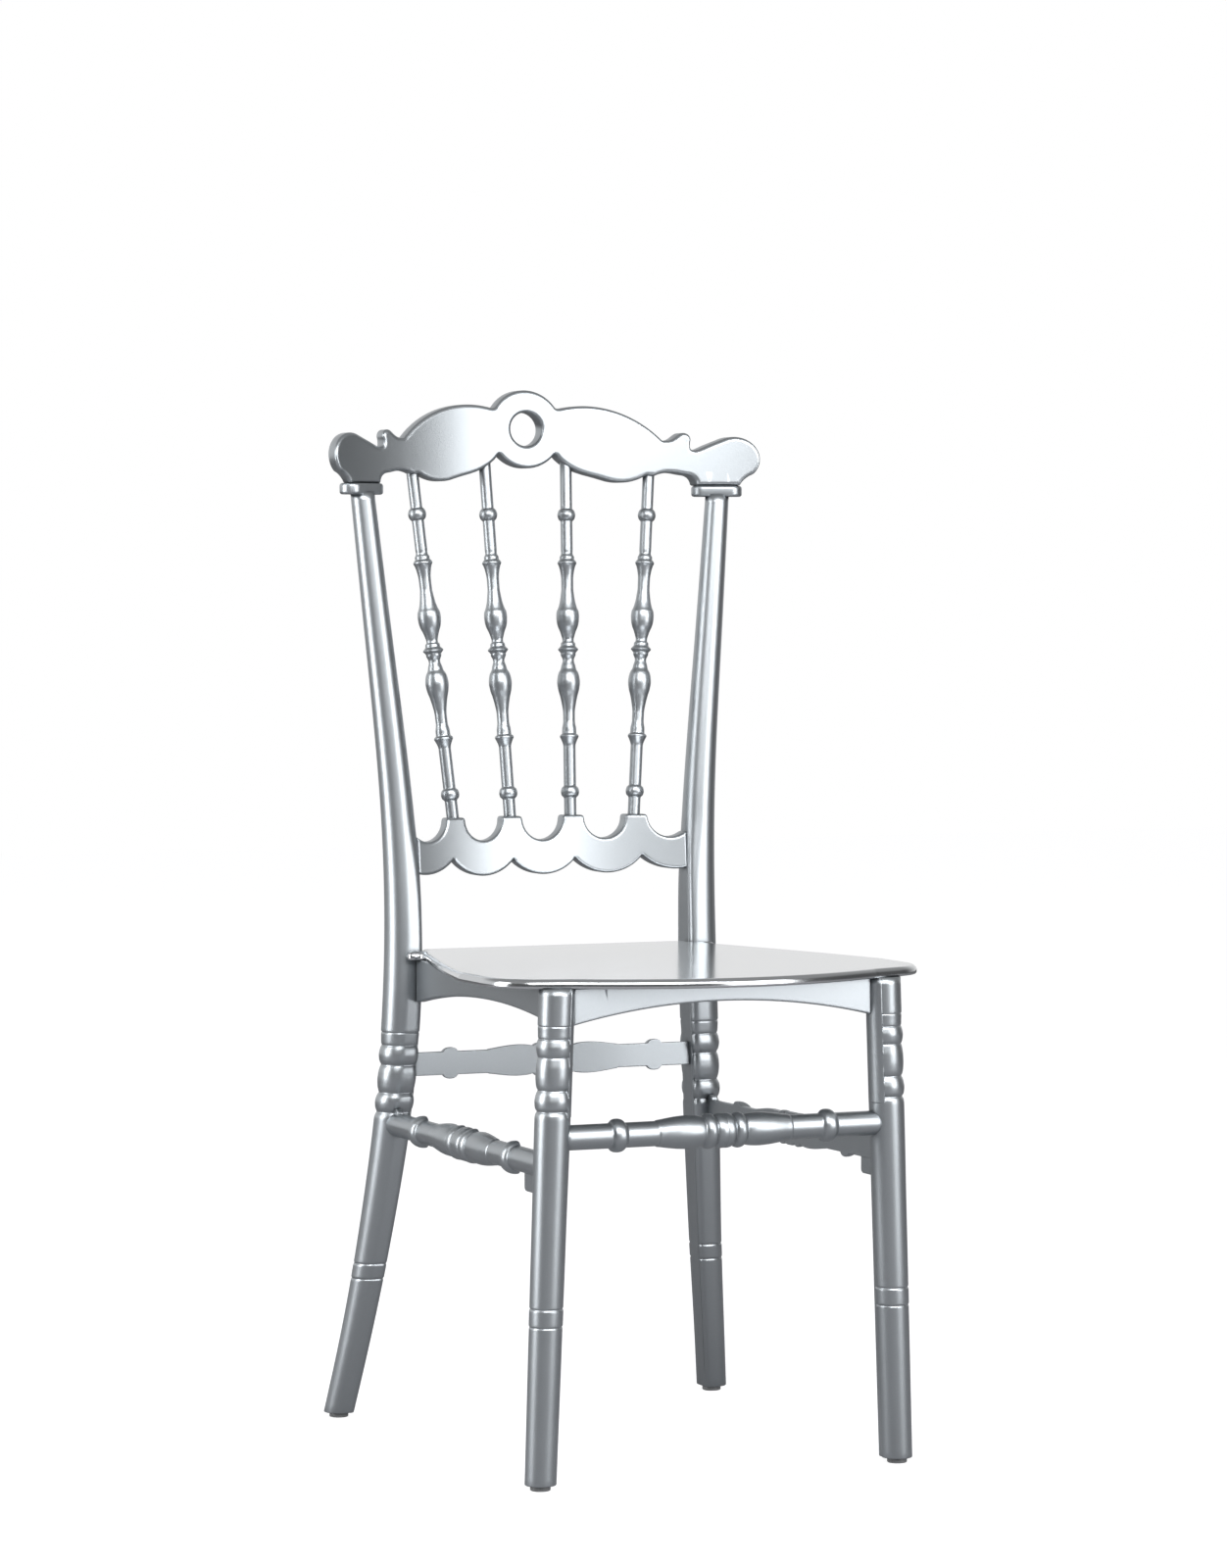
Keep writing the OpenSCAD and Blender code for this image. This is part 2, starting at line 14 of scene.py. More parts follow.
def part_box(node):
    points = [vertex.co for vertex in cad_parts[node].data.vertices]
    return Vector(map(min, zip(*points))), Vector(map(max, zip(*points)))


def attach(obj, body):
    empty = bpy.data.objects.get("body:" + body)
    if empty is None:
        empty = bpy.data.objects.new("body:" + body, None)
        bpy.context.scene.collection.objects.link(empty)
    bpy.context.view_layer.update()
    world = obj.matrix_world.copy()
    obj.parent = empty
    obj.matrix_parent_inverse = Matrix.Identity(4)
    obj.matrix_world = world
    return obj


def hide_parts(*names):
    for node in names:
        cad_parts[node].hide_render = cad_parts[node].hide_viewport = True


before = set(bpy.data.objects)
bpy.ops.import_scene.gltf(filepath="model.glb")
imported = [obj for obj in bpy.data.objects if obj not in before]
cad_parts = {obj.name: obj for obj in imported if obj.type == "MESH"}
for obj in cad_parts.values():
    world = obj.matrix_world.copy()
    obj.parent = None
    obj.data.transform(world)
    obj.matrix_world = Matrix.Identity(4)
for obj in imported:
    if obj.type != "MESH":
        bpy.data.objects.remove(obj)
for start_up in ("Cube", "Camera", "Light"):
    if start_up in bpy.data.objects:
        bpy.data.objects.remove(bpy.data.objects[start_up])
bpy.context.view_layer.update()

LOG = logging.getLogger("chair")
MM = 0.001
BODY = "root"
UP = np.array([0.0, 0.0, 1.0])

Array = np.ndarray
Stations = Sequence[tuple[float, float]]
Runs = Sequence[tuple[float, float, float]]


class Side(Enum):
    """The two sides of the chair, as the sign of x."""

    LEFT = -1
    RIGHT = 1


# ---------------------------------------------------------------- curves


def arc(centre: tuple[float, float], radius: float, start: float, end: float, count: int = 40) -> Array:
    """Points of a circular arc: centre + radius (cos a, sin a), with a running evenly from start to end.

    Args:
        centre: Middle of the circle, in mm.
        radius: Radius in mm.
        start: First angle in degrees.
        end: Last angle in degrees.
        count: Number of points.

    Returns:
        An array of count rows of two.
    """
    angle = np.radians(np.linspace(start, end, count))
    return np.column_stack([centre[0] + radius * np.cos(angle), centre[1] + radius * np.sin(angle)])


def whole(half: Array) -> Array:
    """Closed outline from its right half, whose first and last points lie on x = 0."""
    return np.vstack([half, half[-2:0:-1] * [-1.0, 1.0]])


def through(stations: Stations, at: Array) -> Array:
    """Curve through stations that never overshoots them.

    It is made of cubic pieces whose slope at each station is the weighted harmonic mean of the slopes on both
    sides, or zero where these differ in sign.

    Args:
        stations: (place, value) pairs with rising places.
        at: Places to read the curve at.

    Returns:
        The values at these places.
    """
    x, y = np.array(stations, float).T
    step = np.diff(x)
    slope = np.diff(y) / step
    near, far = 2 * step[1:] + step[:-1], step[1:] + 2 * step[:-1]
    same = slope[:-1] * slope[1:] > 0
    safe_low, safe_high = np.where(same, slope[:-1], 1), np.where(same, slope[1:], 1)
    tangent = np.zeros_like(y)
    tangent[1:-1] = np.where(same, (near + far) / (near / safe_low + far / safe_high), 0)
    tangent[0], tangent[-1] = slope[0], slope[-1]
    i = np.clip(np.searchsorted(x, at, side="right") - 1, 0, len(x) - 2)
    t = np.clip((at - x[i]) / step[i], 0, 1)
    return (
        y[i] * (1 + 2 * t) * (1 - t) ** 2
        + tangent[i] * step[i] * t * (1 - t) ** 2
        + y[i + 1] * t * t * (3 - 2 * t)
        + tangent[i + 1] * step[i] * t * t * (t - 1)
    )


def spline(x: Array, y: Array, at: Array) -> Array:
    """Natural cubic spline through rows of values.

    Its second derivatives m solve h0 m0 + 2 (h0 + h1) m1 + h1 m2 = 6 (s1 - s0) at each inner station, where h
    are the steps between stations and s the slopes over them.

    Args:
        x: Rising places of the stations.
        y: Values there, one row per station.
        at: Places to read the curve at.

    Returns:
        One row per place.
    """
    n, h = len(x), np.diff(x)
    slope = np.diff(y, axis=0) / h[:, None]
    system = np.eye(n)
    inner = np.arange(1, n - 1)
    system[inner, inner - 1] = h[:-1]
    system[inner, inner] = 2 * (h[:-1] + h[1:])
    system[inner, inner + 1] = h[1:]
    right = np.zeros_like(y)
    right[1:-1] = 6 * np.diff(slope, axis=0)
    bend = np.linalg.solve(system, right)
    i = np.clip(np.searchsorted(x, at, side="right") - 1, 0, n - 2)
    a, b, step = (x[i + 1] - at)[:, None], (at - x[i])[:, None], h[i][:, None]
    return (
        bend[i] * a**3 / (6 * step)
        + bend[i + 1] * b**3 / (6 * step)
        + (y[i] / step - bend[i] * step / 6) * a
        + (y[i + 1] / step - bend[i + 1] * step / 6) * b
    )


def smoothstep(low: float, high: float, x: Array) -> Array:
    """0 below low, 1 above high, and 3 t^2 - 2 t^3 between."""
    t = np.clip((x - low) / (high - low), 0, 1)
    return t * t * (3 - 2 * t)


def softened(points: Array, step: float, blur: float) -> Array:
    """Closed outline at even steps, averaged along its length with a bell curve, which rounds its corners.

    Args:
        points: Corners of the closed outline, counter-clockwise, in mm.
        step: Spacing of the new points.
        blur: Standard deviation of the bell curve, in mm.

    Returns:
        The new points.
    """
    ring = np.vstack([points, points[:1]])
    length = np.concatenate([[0], np.cumsum(np.linalg.norm(np.diff(ring, axis=0), axis=1))])
    count = int(length[-1] / step)
    at = np.arange(count) * length[-1] / count
    even = np.interp(at, length, ring[:, 0]) + 1j * np.interp(at, length, ring[:, 1])
    frequency = np.fft.fftfreq(count, length[-1] / count)
    even = np.fft.ifft(np.fft.fft(even) * np.exp(-2 * (np.pi * blur * frequency) ** 2))
    return np.column_stack([even.real, even.imag])


def distance(points: Array, others: Array) -> Array:
    """Distance from each point to the nearest of the others."""
    return np.sqrt(((points[:, None, :] - others[None, :, :]) ** 2).sum(2).min(1))


def inset(outline: Array, depth: float) -> Array:
    """Outline moved into the material, each point by depth along its inward normal.

    A point that then lies nearer to the outline than depth, less a little slack, is past a corner's mitre, so
    it is spread evenly between its good neighbours.

    Args:
        outline: Dense closed outline with the material on its left.
        depth: How far in, in mm.

    Returns:
        As many points as the outline has.
    """
    if depth <= 0:
        return outline.copy()
    run = np.roll(outline, -1, 0) - np.roll(outline, 1, 0)
    run /= np.linalg.norm(run, axis=1, keepdims=True)
    moved = outline + depth * np.column_stack([-run[:, 1], run[:, 0]])
    slack = 0.02
    good = distance(moved, outline) > depth - slack
    if good.all() or not good.any():
        return moved
    n = len(outline)
    index = np.flatnonzero(good)
    around = np.concatenate([index - n, index, index + n])
    values = np.vstack([moved[index]] * 3)
    spots = np.arange(n)
    return np.column_stack([np.interp(spots, around, values[:, k]) for k in (0, 1)])


def inside(points: Array, loops: Sequence[Array]) -> Array:
    """Even-odd test: True where a ray from the point crosses the loops an odd number of times."""
    hits = np.zeros(len(points), int)
    x, y = points[:, :1], points[:, 1:]
    for loop in loops:
        after = np.roll(loop, -1, 0)
        crosses = (loop[None, :, 1] > y) != (after[None, :, 1] > y)
        rise = np.where(after[:, 1] == loop[:, 1], 1e-12, after[:, 1] - loop[:, 1])
        reach = loop[:, 0] + (y - loop[:, 1]) * (after[:, 0] - loop[:, 0]) / rise
        hits += (crosses & (x < reach)).sum(1)
    return hits % 2 == 1


# ---------------------------------------------------------------- surfaces


@dataclass
class Skin:
    """A closed surface in mm: vertices, four-cornered faces and three-cornered faces."""

    verts: Array
    quads: Array
    tris: Array

    def faced_out(self) -> "Skin":
        """The surface with its faces outwards: its volume, the sum of a . (b x c) / 6, is then positive."""
        tris = np.vstack([self.quads[:, [0, 1, 2]], self.quads[:, [0, 2, 3]], self.tris])
        a, b, c = (self.verts[tris[:, k]] for k in range(3))
        if (a * np.cross(b, c)).sum() >= 0:
            return self
        return Skin(self.verts, self.quads[:, ::-1], self.tris[:, ::-1])

    def mirrored(self, side: Side) -> "Skin":
        """The surface drawn for the right side, placed on the given side."""
        return Skin(self.verts * [side.value, 1, 1], self.quads, self.tris).faced_out()


def tube(rings: Array) -> Skin:
    """Closed surface through rings of points, with a fan to the middle of the first and last ring.

    Args:
        rings: Array of ring, point round the ring, and x, y, z.

    Returns:
        The surface, facing outwards.
    """
    m, n = rings.shape[:2]
    verts = np.vstack([rings.reshape(-1, 3), rings[0].mean(0), rings[-1].mean(0)])
    i, k = np.meshgrid(np.arange(m - 1), np.arange(n), indexing="ij")
    here, beside = i * n + k, i * n + (k + 1) % n
    quads = np.stack([here, beside, beside + n, here + n], -1).reshape(-1, 4)
    k = np.arange(n)
    first = np.column_stack([(k + 1) % n, k, np.full(n, m * n)])
    last = np.column_stack([k, (k + 1) % n, np.full(n, m * n + 1)]) + [(m - 1) * n, (m - 1) * n, 0]
    return Skin(verts, quads, np.vstack([first, last])).faced_out()


def edge_profile(half: float, front: float, back: float) -> list[tuple[float, float]]:
    """Section of a board's edge: a quarter circle from each face, with a support line just inside each.

    Args:
        half: Half the thickness, in mm.
        front: Radius of the rounding at the front face.
        back: Radius at the back face.

    Returns:
        Pairs of depth in from the outline and height, from the back face to the front face.
    """
    support = 0.9
    turn = np.radians(np.linspace(0, 90, 7))
    rise = [(back + support, -half), *zip(back * (1 - np.sin(turn)), back * (1 - np.cos(turn)) - half)]
    fall = [(front + support, half), *zip(front * (1 - np.sin(turn)), half - front * (1 - np.cos(turn)))]
    return rise + fall[::-1]


def face_fill(rims: Sequence[Array], pairs: Array, step: float) -> tuple[Array, Array]:
    """Triangles over a board's face, on the points of its rims and of a square lattice between them.

    Args:
        rims: The closed loops round the face.
        pairs: Neighbours on the loops, numbered through one loop after another.
        step: Spacing of the lattice, in mm.

    Returns:
        The lattice's points, and triangles that count the rims' points first and then the lattice's.
    """
    offset, clearance = 0.37 * step, 0.55 * step
    rim = np.vstack(rims)
    spans = [np.arange(a + offset, b, step) for a, b in zip(rim.min(0), rim.max(0))]
    lattice = np.stack(np.meshgrid(*spans), -1).reshape(-1, 2)
    lattice = lattice[inside(lattice, rims)]
    lattice = lattice[distance(lattice, rim) > clearance]
    flat = [Vector(p) for p in np.vstack([rim, lattice]).tolist()]
    made = geometry.delaunay_2d_cdt(flat, pairs.tolist(), [], 0, 1e-7)
    points = np.array([tuple(p) for p in made[0]])
    source = np.array([o[0] if o else -1 for o in made[3]])
    tris = np.array([f for f in made[2] if len(f) == 3])
    tris = source[tris[inside(points[tris].mean(1), rims)]]
    if (tris < 0).any():
        raise ValueError("a board's faces could not be filled")
    a, b, c = tris.T
    return lattice, tris[(a != b) & (b != c) & (c != a)]


def slab(
    loops: Sequence[Array],
    half: float,
    edge: float,
    face_step: float,
    warp: Callable[[Array], Array],
    back_edge: float | None = None,
) -> Skin:
    """Board of even thickness with rounded edges.

    Its side carries the edge's section round each loop, every point of it as far inside the loop as the
    section says. Both faces are filled with triangles inside the innermost lines.

    Args:
        loops: The outline, counter-clockwise, and then any holes, clockwise.
        half: Half the thickness, in mm.
        edge: Radius of the rounded edges.
        face_step: Spacing of the points on the faces.
        warp: Turns rows of (along, up, through) into rows of x, y, z.
        back_edge: Radius of the rounded edges at the back face, if it differs.

    Returns:
        The surface, facing outwards.
    """
    profile = edge_profile(half, edge, edge if back_edge is None else back_edge)
    counts = [len(loop) for loop in loops]
    total = sum(counts)
    starts = np.concatenate([[0], np.cumsum(counts)[:-1]])
    rows = [
        np.column_stack([np.vstack([inset(loop, depth) for loop in loops]), np.full(total, height)])
        for depth, height in profile
    ]
    here = np.arange(total)
    beside = np.concatenate([s + (np.arange(c) + 1) % c for s, c in zip(starts, counts)])
    level = (np.arange(len(rows) - 1) * total)[:, None]
    quads = np.stack([here + level, beside + level, beside + level + total, here + level + total], -1)
    side = np.vstack(rows)

    rims = [rows[0][s:s + c, :2] for s, c in zip(starts, counts)]
    lattice, tris = face_fill(rims, np.column_stack([here, beside]), face_step)
    count = len(lattice)
    back = np.column_stack([lattice, np.full(count, -half)])
    front = np.column_stack([lattice, np.full(count, half)])
    back_index = np.concatenate([here, len(side) + np.arange(count)])
    front_index = np.concatenate([here + (len(rows) - 1) * total, len(side) + count + np.arange(count)])
    caps = np.vstack([back_index[tris[:, ::-1]], front_index[tris]])
    return Skin(warp(np.vstack([side, back, front])), quads.reshape(-1, 4), caps).faced_out()


def stacked(*parts: Array) -> Array:
    """Sorted places along a piece, from several runs, without those that nearly fall together."""
    closest = 0.02
    every = np.unique(np.round(np.concatenate(parts), 4))
    return every[np.concatenate([[True], np.diff(every) > closest])]


def close_runs(runs: Runs) -> list[Array]:
    """Places of each (start, end, step) run."""
    return [np.arange(*run) for run in runs]


def levels(low: float, high: float, count: int, runs: Runs, foot_edge: float) -> Array:
    """Heights of the sections of a standing piece.

    Args:
        low: Height of its foot.
        high: Height of its top.
        count: Number of even heights between them.
        runs: Where the turning needs closer sections.
        foot_edge: Radius of the foot's rounded rim, which gets four sections of its own.

    Returns:
        The rising heights.
    """
    slack = 0.01
    rim = low + foot_edge * (1 - np.cos(np.linspace(0, np.pi / 2, 5)))
    z = stacked(np.linspace(low, high, count), *close_runs(runs), rim)
    return z[(z > low - slack) & (z < high + slack)].clip(low, high)


def foot_round(z: Array, low: float, radius: float) -> Array:
    """How much a rounded foot takes off a section: r - sqrt(r^2 - (r - d)^2) at a height d < r above low."""
    d = np.clip(z - low, 0, radius)
    return radius - np.sqrt(np.maximum(radius**2 - (radius - d) ** 2, 0))


def standing(x: Array, y: Array, z: Array, section: Array, angle: Array) -> Skin:
    """Surface of level sections: (x + section cos a, y + section sin a, z).

    Args:
        x: x of each section's middle.
        y: y of each section's middle.
        z: Height of each section.
        section: Radius by section and angle.
        angle: The angles round the middle, in degrees.

    Returns:
        The surface.
    """
    c, s = np.cos(np.radians(angle)), np.sin(np.radians(angle))
    height = np.broadcast_to(z[:, None], section.shape)
    return tube(np.stack([x[:, None] + section * c, y[:, None] + section * s, height], -1))


# ---------------------------------------------------------------- finishes


@dataclass
class NodeKit:
    """Short hands for wiring a node tree."""

    tree: bpy.types.NodeTree

    def add(self, kind: str, inputs: dict | None = None, **settings: object) -> bpy.types.Node:
        """Adds a node.

        Args:
            kind: The node's type name.
            inputs: Socket name or number to a plain value or to another node's output.
            settings: Attributes of the node.

        Returns:
            The node.
        """
        node = self.tree.nodes.new(kind)
        for name, value in settings.items():
            setattr(node, name, value)
        for name, value in (inputs or {}).items():
            socket = node.inputs[name]
            if isinstance(value, bpy.types.NodeSocket):
                self.tree.links.new(value, socket)
            else:
                socket.default_value = value
        return node

    def math(self, operation: str, *values: object) -> bpy.types.NodeSocket:
        """Output of a Math node with these inputs."""
        return self.add("ShaderNodeMath", dict(enumerate(values)), operation=operation).outputs[0]

    def ranged(
        self, value: object, low: float, high: float, to_low: float, to_high: float, way: str = "LINEAR"
    ) -> bpy.types.NodeSocket:
        """The value carried from the range low to high into another range, and held inside it."""
        names = ("Value", "From Min", "From Max", "To Min", "To Max")
        inputs = dict(zip(names, (value, low, high, to_low, to_high)))
        return self.add("ShaderNodeMapRange", inputs, interpolation_type=way).outputs[0]

    def noise(
        self, place: object, scale: object, detail: float, roughness: float = 0.5
    ) -> bpy.types.NodeSocket:
        """Factor of a noise texture read at the place."""
        inputs = {"Vector": place, "Scale": scale, "Detail": detail, "Roughness": roughness}
        return self.add("ShaderNodeTexNoise", inputs).outputs[0]

    def scaled(self, colour: object, factor: object) -> bpy.types.NodeSocket:
        """The colour times the factor."""
        return self.add("ShaderNodeVectorMath", {0: colour, "Scale": factor}, operation="SCALE").outputs[0]

    def shared(self, group: bpy.types.NodeTree, values: dict[str, float]) -> object:
        """Outputs of a shared node group placed with its own values."""
        return self.add("ShaderNodeGroup", values, node_tree=group).outputs


def new_group(name: str, inputs: Sequence[str], outputs: Sequence[str]) -> bpy.types.NodeTree:
    """Empty shader node group with named sockets for single values.

    Args:
        name: The group's name.
        inputs: Names of its inputs.
        outputs: Names of its outputs.

    Returns:
        The group.
    """
    group = bpy.data.node_groups.new(name, "ShaderNodeTree")
    for side, labels in (("INPUT", inputs), ("OUTPUT", outputs)):
        for label in labels:
            group.interface.new_socket(label, in_out=side, socket_type="NodeSocketFloat")
    return group


def new_material(name: str) -> tuple[bpy.types.Material, NodeKit]:
    made = bpy.data.materials.new(name)
    made.use_nodes = True
    made.node_tree.nodes.clear()
    return made, NodeKit(made.node_tree)


def metal_flake_group() -> bpy.types.NodeTree:
    """Sprayed metallic paint: fine flakes that differ in lightness, slow clouds and an orange-peel skin."""
    group = new_group(
        "metal_flake",
        ("Flake Scale", "Flake Amount", "Cloud Amount", "Peel Scale"),
        ("Shade", "Roughness Shift", "Height"),
    )
    kit = NodeKit(group)
    given = kit.add("NodeGroupInput").outputs
    place = kit.add("ShaderNodeTexCoord").outputs["Object"]
    flake = kit.add("ShaderNodeTexVoronoi", {"Vector": place, "Scale": given["Flake Scale"]})
    spark = kit.add("ShaderNodeSeparateColor", {"Color": flake.outputs["Color"]}).outputs[0]
    cloud = kit.noise(place, 14.0, 3.0, 0.55)
    flakes = kit.math("MULTIPLY", kit.math("SUBTRACT", spark, 0.5), given["Flake Amount"])
    clouds = kit.math("MULTIPLY", kit.math("SUBTRACT", cloud, 0.5), given["Cloud Amount"])
    shade = kit.math("ADD", kit.math("ADD", flakes, clouds), 1.0)
    peel = kit.noise(place, given["Peel Scale"], 2.0)
    height = kit.math("ADD", peel, kit.math("MULTIPLY", spark, 0.10))
    shift = kit.math("MULTIPLY", clouds, 0.9)
    kit.add("NodeGroupOutput", {"Shade": shade, "Roughness Shift": shift, "Height": height})
    return group


def crevice_shade_group() -> bpy.types.NodeTree:
    """Painted shade mask of tight inner corners, by how much nearby surface hides a point: 1 in a groove, 0
    in the open.
    """
    group = new_group("crevice", ("Reach", "Amount"), ("Mask",))
    kit = NodeKit(group)
    given = kit.add("NodeGroupInput").outputs
    open_sky = kit.add("ShaderNodeAmbientOcclusion", {"Distance": given["Reach"]}, samples=8).outputs["AO"]
    hidden = kit.ranged(open_sky, 0.25, 0.9, 1.0, 0.0)
    kit.add("NodeGroupOutput", {"Mask": kit.math("MULTIPLY", hidden, given["Amount"])})
    return group


def moulding_group() -> bpy.types.NodeTree:
    """Skin of moulded plastic: fine sand-like texture with faint flow streaks along one axis."""
    group = new_group("moulding", ("Grain Scale", "Streak Amount"), ("Shade", "Height"))
    kit = NodeKit(group)
    given = kit.add("NodeGroupInput").outputs
    place = kit.add("ShaderNodeTexCoord").outputs["Object"]
    grain = kit.noise(place, given["Grain Scale"], 4.0)
    long = kit.add("ShaderNodeMapping", {"Vector": place, "Scale": (60.0, 60.0, 6.0)}).outputs[0]
    streak = kit.noise(long, 1.0, 2.0)
    shift = kit.math("MULTIPLY", kit.math("SUBTRACT", streak, 0.5), given["Streak Amount"])
    kit.add("NodeGroupOutput", {"Shade": kit.math("ADD", shift, 1.0), "Height": grain})
    return group


@dataclass
class Groups:
    """The shared node groups, each built once."""

    flake: bpy.types.NodeTree = field(default_factory=metal_flake_group)
    crevice: bpy.types.NodeTree = field(default_factory=crevice_shade_group)
    moulding: bpy.types.NodeTree = field(default_factory=moulding_group)


@dataclass(frozen=True)
class SilverPaint:
    """Metallic silver paint under a thin clear layer, on smooth resin; painted shade darkens it in its
    grooves and tight corners.
    """

    name: str
    colour: tuple[float, float, float]
    # colour of the painted shade in grooves and tight corners
    groove: tuple[float, float, float]
    roughness: float
    coat: float
    flake_amount: float
    cloud_amount: float
    peel: float
    flake_scale: float = 1900.0
    peel_scale: float = 260.0
    peel_depth: float = 0.0002
    groove_shade_reach: float = 0.006
    groove_shade_amount: float = 0.75
    coat_roughness: float = 0.08
    coat_ior: float = 1.45

    def material(self, groups: Groups) -> bpy.types.Material:
        """Builds the paint.

        Args:
            groups: The shared node groups.

        Returns:
            The material.
        """
        made, kit = new_material(self.name)
        flake = kit.shared(groups.flake, {
            "Flake Scale": self.flake_scale, "Flake Amount": self.flake_amount,
            "Cloud Amount": self.cloud_amount, "Peel Scale": self.peel_scale,
        })
        # painted shade: the groove colour is mixed in where nearby surface hides a point
        crevice = kit.shared(groups.crevice, {"Reach": self.groove_shade_reach, "Amount": self.groove_shade_amount})
        colours = {0: crevice["Mask"], 6: (*self.colour, 1.0), 7: (*self.groove, 1.0)}
        tint_with_painted_shade = kit.add("ShaderNodeMix", colours, data_type="RGBA").outputs[2]
        bump = {"Strength": self.peel, "Distance": self.peel_depth, "Height": flake["Height"]}
        shader = kit.add("ShaderNodeBsdfPrincipled", {
            "Base Color": kit.scaled(tint_with_painted_shade, flake["Shade"]), "Metallic": 1.0,
            "Roughness": kit.math("ADD", flake["Roughness Shift"], self.roughness),
            "Normal": kit.add("ShaderNodeBump", bump).outputs[0],
            "Coat Weight": self.coat, "Coat Roughness": self.coat_roughness, "Coat IOR": self.coat_ior,
        })
        kit.add("ShaderNodeOutputMaterial", {"Surface": shader.outputs[0]})
        return made


@dataclass(frozen=True)
class MouldedPlastic:
    """Plain moulded plastic, unpainted."""

    name: str
    colour: tuple[float, float, float]
    roughness: float
    grain: float
    streaks: float = 0.12
    bump: float = 0.35
    bump_depth: float = 0.0003

    def material(self, groups: Groups) -> bpy.types.Material:
        """Builds the plastic.

        Args:
            groups: The shared node groups.

        Returns:
            The material.
        """
        made, kit = new_material(self.name)
        skin = kit.shared(groups.moulding, {"Grain Scale": self.grain, "Streak Amount": self.streaks})
        bump = {"Strength": self.bump, "Distance": self.bump_depth, "Height": skin["Height"]}
        shader = kit.add("ShaderNodeBsdfPrincipled", {
            "Base Color": kit.scaled(self.colour, skin["Shade"]),
            "Roughness": kit.ranged(skin["Height"], 0.3, 0.7, self.roughness - 0.05, self.roughness + 0.07),
            "Normal": kit.add("ShaderNodeBump", bump).outputs[0],
        })
        kit.add("ShaderNodeOutputMaterial", {"Surface": shader.outputs[0]})
        return made


@dataclass(frozen=True)
class ZincSteel:
    """Zinc-plated steel of screws and bolts: a faint crystal pattern in brightness and roughness."""

    name: str
    colour: tuple[float, float, float]
    roughness: float
    grain: float = 900.0
    streaks: float = 0.25

    def material(self, groups: Groups) -> bpy.types.Material:
        """Builds the metal.

        Args:
            groups: The shared node groups.

        Returns:
            The material.
        """
        made, kit = new_material(self.name)
        skin = kit.shared(groups.moulding, {"Grain Scale": self.grain, "Streak Amount": self.streaks})
        shader = kit.add("ShaderNodeBsdfPrincipled", {
            "Base Color": kit.scaled(self.colour, skin["Shade"]), "Metallic": 1.0,
            "Roughness": kit.ranged(skin["Height"], 0.3, 0.7, self.roughness - 0.08, self.roughness + 0.08),
        })
        kit.add("ShaderNodeOutputMaterial", {"Surface": shader.outputs[0]})
        return made


@dataclass
class Workshop:
    """Turns surfaces into finished pieces of the chair."""

    groups: Groups = field(default_factory=Groups)
    materials: dict[str, bpy.types.Material] = field(default_factory=dict)

    def finish(self, finish: "Finish") -> bpy.types.Material:
        """The finish's material, built when it is first asked for."""
        if finish.name not in self.materials:
            self.materials[finish.name] = finish.value.material(self.groups)
        return self.materials[finish.name]

    def piece(self, name: str, skins: Sequence[Skin], finish: "Finish", node: str) -> bpy.types.Object:
        """Makes one object from closed surfaces, dresses it, and lets it stand for its CAD node.

        Args:
            name: The piece's name.
            skins: Its surfaces, in mm.
            finish: Its finish.
            node: The CAD node that it stands for.

        Returns:
            The object, riding on the chair's body.
        """
        verts = np.vstack([s.verts for s in skins]) * MM
        shift = np.concatenate([[0], np.cumsum([len(s.verts) for s in skins])[:-1]])
        quads = np.vstack([s.quads + k for s, k in zip(skins, shift)])
        tris = np.vstack([s.tris + k for s, k in zip(skins, shift)])
        mesh = bpy.data.meshes.new(name)
        mesh.vertices.add(len(verts))
        mesh.vertices.foreach_set("co", verts.astype(np.float32).ravel())
        corners = np.concatenate([quads.ravel(), tris.ravel()]).astype(np.int32)
        mesh.loops.add(len(corners))
        mesh.loops.foreach_set("vertex_index", corners)
        starts = np.concatenate([np.arange(len(quads)) * 4, len(quads) * 4 + np.arange(len(tris)) * 3])
        mesh.polygons.add(len(starts))
        mesh.polygons.foreach_set("loop_start", starts.astype(np.int32))
        mesh.update(calc_edges=True)
        mesh.validate()
        mesh.shade_smooth()
        mesh.materials.append(self.finish(finish))
        made = bpy.data.objects.new(name, mesh)
        bpy.context.scene.collection.objects.link(made)
        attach(made, BODY)
        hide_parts(node)
        finish.slot
        LOG.info("%s: %d triangles, for %s", name, 2 * len(quads) + len(tris), node)
        return made

    def pair(self, name: str, skins: Sequence[Skin], finish: "Finish", node: str) -> None:
        """Makes a piece drawn for the right side on both sides, each named with its side."""
        for side in Side:
            tag = side.name.lower()
            self.piece(f"{name}_{tag}", [skin.mirrored(side) for skin in skins], finish, f"{node}_{tag}")

    def dress(self, node: str, finish: "Finish") -> None:
        """Gives a CAD node that stays in view its finish."""
        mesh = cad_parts[node].data
        mesh.materials.clear()
        mesh.materials.append(self.finish(finish))
        LOG.info("%s: kept from the CAD, %s", node, finish.name.lower())


